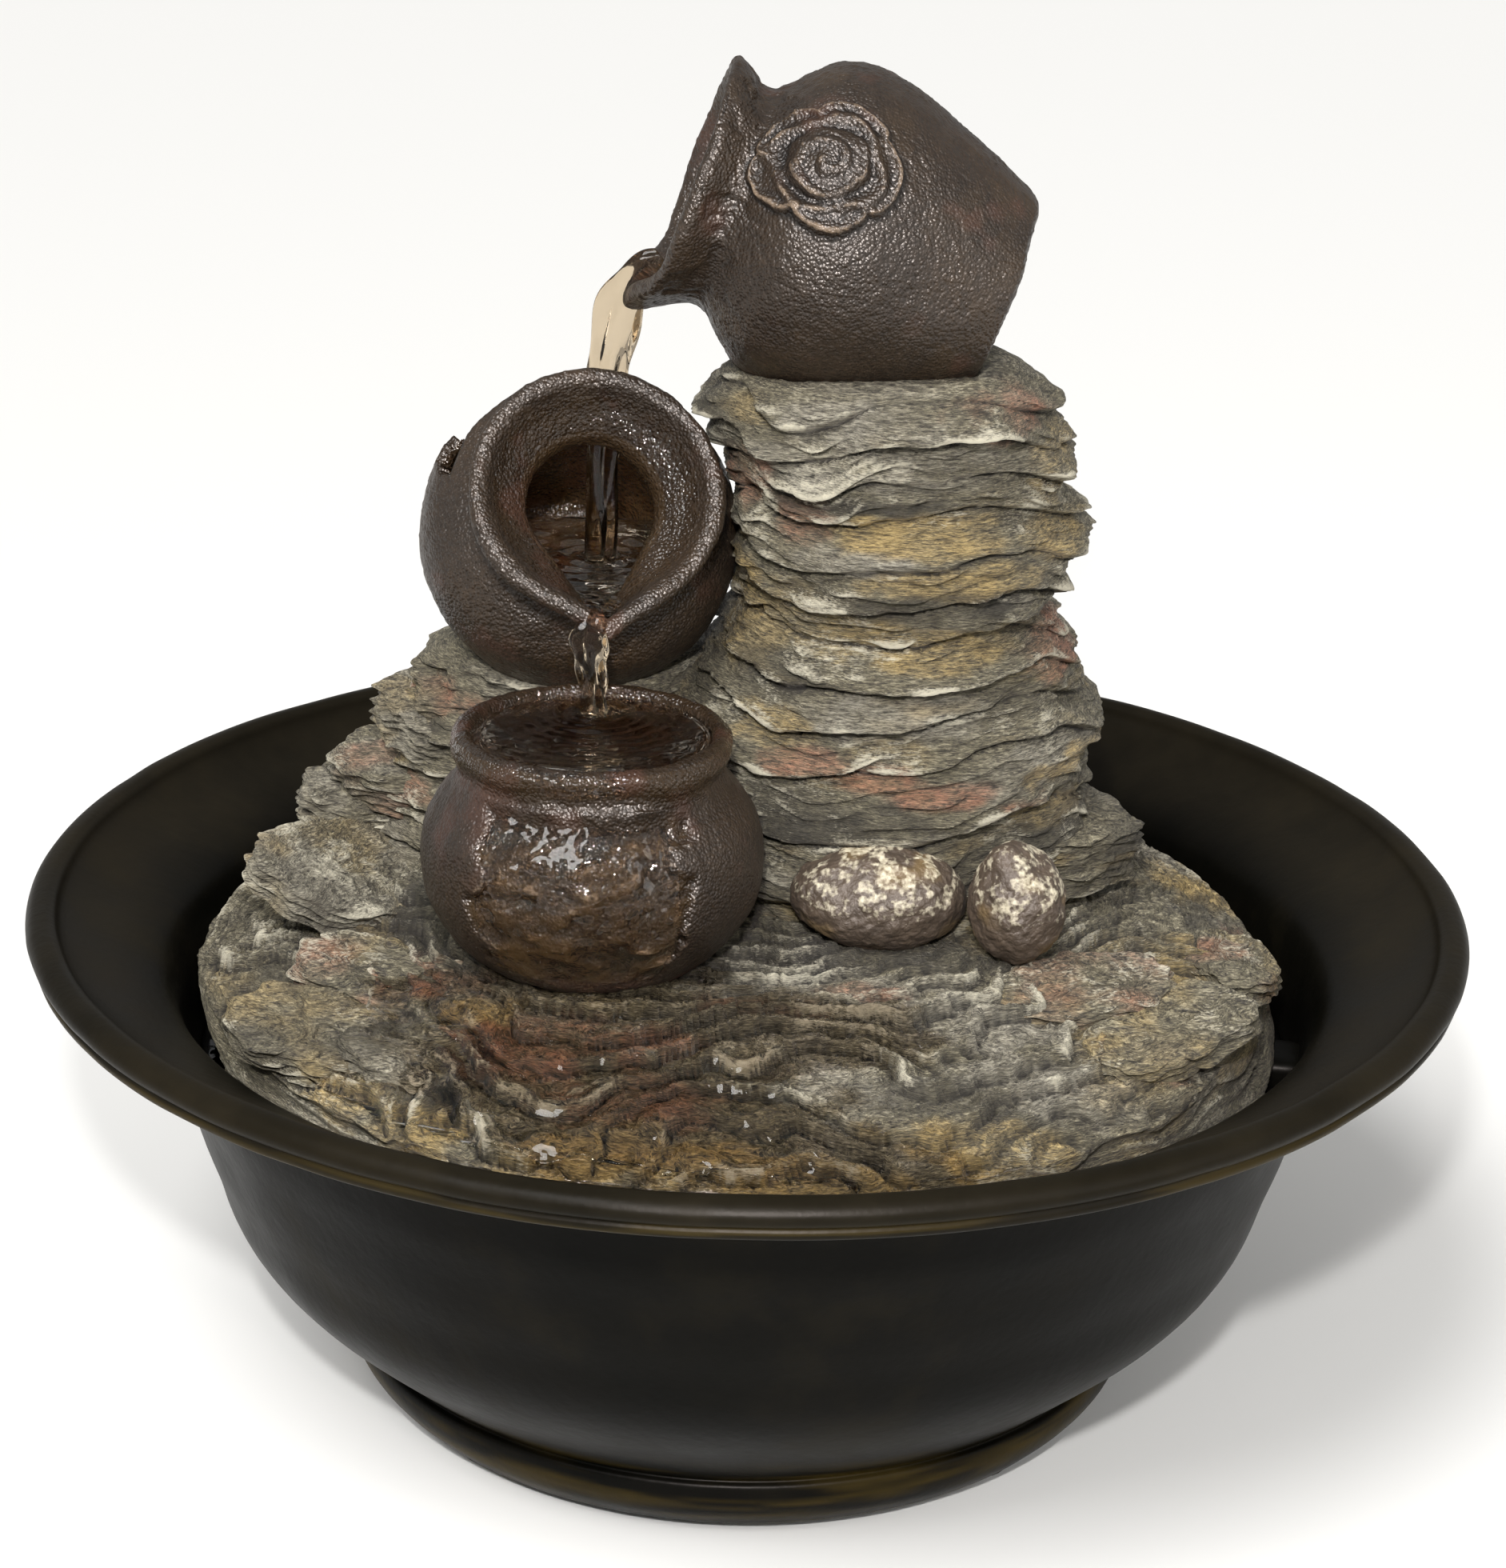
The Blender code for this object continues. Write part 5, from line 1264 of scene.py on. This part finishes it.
def levelPool(name, jug, pool, material):
    # the water in a lying jug: at its level the surface fills the jug's inner section, out through the
    # throat and along the spout's channel
    base, axes = jugFrame(jug)
    level, (front, rear) = pool["level"], pool["reach"]
    channel = [row for row in jugShape["outside"] if row[1] > 56 and row[0] < 24.5][::-1][:7]
    inner = np.array(jugShape["inside"][::-1][1:] + channel, float)
    inner = inner[np.argsort(inner[:, 1])]
    rows = np.linspace(front, rear, 150)
    samples = np.linspace(-80, 5, 700)
    y, x = np.meshgrid(rows, samples, indexing="ij")
    local = (np.stack([x, y, np.full_like(x, level)], -1) - base) @ axes.T
    radius = np.interp(local[..., 2], inner[:, 1], inner[:, 0], right=0)
    pull = 1 + (np.interp(local[..., 2], inner[:, 1], inner[:, 2]) - 1) * jug["pull"]
    reach = radius * pulled(np.arctan2(local[..., 1], local[..., 0]), pull)
    inside = np.hypot(local[..., 0], local[..., 1]) < reach + 0.5
    held = inside.any(1)
    left = samples[np.argmax(inside, axis=1)][held]
    right = samples[len(samples) - 1 - np.argmax(inside[:, ::-1], axis=1)][held]
    share = np.linspace(0, 1, 90)[None, :]
    x = left[:, None] * (1 - share) + right[:, None] * share
    y = np.repeat(rows[held][:, None], 90, axis=1)
    away = np.hypot(x - pool["source"][0], y - pool["source"][1])
    waves = 0.55 * np.sin(away * 1.5) * np.exp(-away / 16)
    waves = waves + 0.35 * roughness3(np.stack([x, y, 0 * x], -1), (5, 3, 3), 611, 2)
    calm = smoothStep(0, 0.08, share) * smoothStep(1, 0.92, share)
    sag = 0.7 * smoothStep(-8, -18, y)
    top = np.stack([x, y, level + waves * calm - sag], -1)
    under = top * 1.0
    bulge = np.sqrt(np.clip(1 - (2 * share - 1) ** 2, 0, 1)) * smoothStep(rear + 1, rear - 14, y)
    under[..., 2] = level - 0.8 - pool["depth"] * bulge * smoothStep(-16, 2, y)
    loop = closeEnds(np.hstack([top, under[:, ::-1]]))
    return makePiece(name, loop, closedFaces(*loop.shape[:2]), None, material, "rockwork")


def makeStream(name, material):
    # falling water: a flattened tube along a curve, its section an ellipse that swells and turns
    stream = streams[name]
    spine = smoothCurve(stream["path"], 24)
    size = smoothCurve(np.array(stream["widths"], float)[:, None], 24)
    along = np.gradient(spine, axis=0)
    along /= np.linalg.norm(along, axis=1, keepdims=True)
    wide = np.cross(along, np.array([0, -1.0, 0]))
    wide /= np.linalg.norm(wide, axis=1, keepdims=True)
    deep = np.cross(along, wide)
    t = np.linspace(0, fullTurn, 72, endpoint=False)[None, :]
    way = np.arange(len(spine))[:, None] / len(spine)
    folds = 1 + 0.26 * np.sin(3 * t + 7 * way) + 0.08 * np.sin(5 * t - 13 * way + 1)
    folds = folds + 0.05 * np.sin(26 * way + t)
    turn = stream["twist"] * way
    a = size / 2 * np.cos(t) * folds
    b = stream["thick"] / 2 * np.sin(t) * folds
    across = a * np.cos(turn) - b * np.sin(turn)
    through = a * np.sin(turn) + b * np.cos(turn)
    points = spine[:, None] + wide[:, None] * across[..., None] + deep[:, None] * through[..., None]
    points = closeEnds(points)
    return makePiece(name, points, closedFaces(*points.shape[:2]), None, material, "rockwork")


def makePotFilm(material):
    # water running down the pot's front: a thin skin over the wall, lapped like scales by its ripples
    steps = 8
    profile = smoothCurve(lowerPot["profile"], steps)[:20 * steps]
    start = np.argmin(np.abs(profile[:, 1] - 2.2))
    rows = profile[start:18 * steps]                     # from the foot over the lip
    u, radius = np.meshgrid(np.linspace(-1, 1, 190), rows[:, 0])
    z = np.repeat(rows[:, 1:2], u.shape[1], axis=1)
    narrow = 0.55 + 0.45 * smoothStep(47, 36, z)
    angle = lowerPot["front"] + (lowerPot["filmHalf"] - 0.02) * u * narrow
    outward = np.stack([np.cos(angle), np.sin(angle), 0 * angle], -1)
    points = outward * radius[..., None] + np.array(lowerPot["foot"])
    points[..., 2] += z
    ripples = roughness3(points, (3.4, 3.4, 2.6), 621, 2)
    ripples = ripples + 0.4 * roughness3(points, (1.9, 1.9, 1.5), 622, 1)
    edge = smoothStep(1, 0.86, np.abs(u))
    front = points + outward * ((0.6 + 0.62 * ripples) * edge - 0.6)[..., None]
    behind = points - outward * 2.2
    loop = closeEnds(np.hstack([front, behind[:, ::-1]]))
    return makePiece("pot_water_film", loop, closedFaces(*loop.shape[:2]), None, material, "rockwork")


def makeReservoir(material):
    # the water held in the bowl: level on top with low ripples, and against the bowl's wall all round
    wall = smoothCurve(reservoir["wall"], 3)
    t = np.linspace(0, fullTurn, 260, endpoint=False)
    radius, angle = np.meshgrid(wall[:, 0], t, indexing="ij")
    z = np.repeat(wall[:, 1:], len(t), axis=1)
    side = np.stack([radius * np.cos(angle), radius * np.sin(angle), z], -1)
    share, angle = np.meshgrid(np.linspace(0.995, 0, 70), t, indexing="ij")
    x = reservoir["radius"] * share * np.cos(angle)
    y = reservoir["radius"] * share * np.sin(angle)
    waves = reservoir["waves"] * roughness3(np.stack([x, y, x * 0], -1), 9, 631, 2)
    top = np.stack([x, y, reservoir["level"] + waves], -1)
    points = np.vstack([side, top])
    return makePiece("reservoir_water", points, closedFaces(*points.shape[:2]), None, material, "bowl")


# the whole fountain

makeStage()
slate = slateResin()
makeBowl(bowlResin())
stoneware = jugResin("sandedResinPaintedAsStoneware", "#291f16", "#3d2e1e")
makeJug("upper_jug_shell", "upper_jug", upperJug, stoneware)
makeJug("middle_jug_shell", "middle_jug", middleJug, stoneware)
makePot(stoneware)
moundTop = makeMound(slate)
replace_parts(makeStack("rock_column_slabs", rockColumn, slate, 201), "rock_column")
makeStack("rock_shoulder", rockShoulder, slate, 251)
for plateName in plates:
    makePlate(plateName, slate)
print("slabs made")
makePebbles(pebbleResin())

clear = water("runningWater")
# painted refraction: the beige tint stands in for the surroundings seen through the falling streams
falling = water("fallingWater", "#d8c6ab")
still = water("poolWater", "#d8cfc0")
makePool("pot_pool", potPool, still)
levelPool("middle_jug_pool", middleJug, jugPool, still)
for streamName in streams:
    makeStream(streamName, falling)
makePotFilm(clear)
makeMoundFilm(moundTop, clear)
makeReservoir(still)
print("water made")

finishes = {
    "rubber": plainMould("mouldedNitrileRubber", "#121212", "#1d1d1c", 0.72, 0.5, 0.05),
    "pump": plainMould("mouldedAbsPlastic", "#17181a", "#222426", 0.42, 0.4, 0.04),
    "rotor": plainMould("mouldedAcetal", "#d9d8d2", "#eceae4", 0.36, 0.5, 0.02),
    "magnet": plainMould("sinteredFerrite", "#2a2a2c", "#3b3b3e", 0.48, 0.3, 0.03),
    "ceramic": plainMould("groundAluminaCeramic", "#e6e1d4", "#f2efe6", 0.22, 0.3, 0.01),
    "vinyl": plainMould("softVinyl", "#2b2c2e", "#3c3d40", 0.34, 0.8, 0.02),
    "tube": plainMould("extrudedPvcTube", "#c9cdc8", "#dadeda", 0.24, 1.2, 0.02),
}
keptParts = {
    "rubber": ["foot_pad_right", "foot_pad_back", "foot_pad_left", "foot_pad_front", "riser_grommet",
               "front_bush", "rear_bush", "cord_gland"],
    "pump": ["pump_body", "impeller_housing", "front_cover", "flow_dial"],
    "rotor": ["impeller"],
    "magnet": ["rotor_magnet"],
    "ceramic": ["rotor_shaft"],
    "vinyl": ["suction_cup_front_left", "suction_cup_front_right", "suction_cup_back_left",
              "suction_cup_back_right"],
    "tube": ["riser_tube"],
}
for finish, names in keptParts.items():
    for partName in names:
        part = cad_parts[partName]
        part.data.materials.clear()
        part.data.materials.append(finishes[finish])
print("parts of the pump finished")
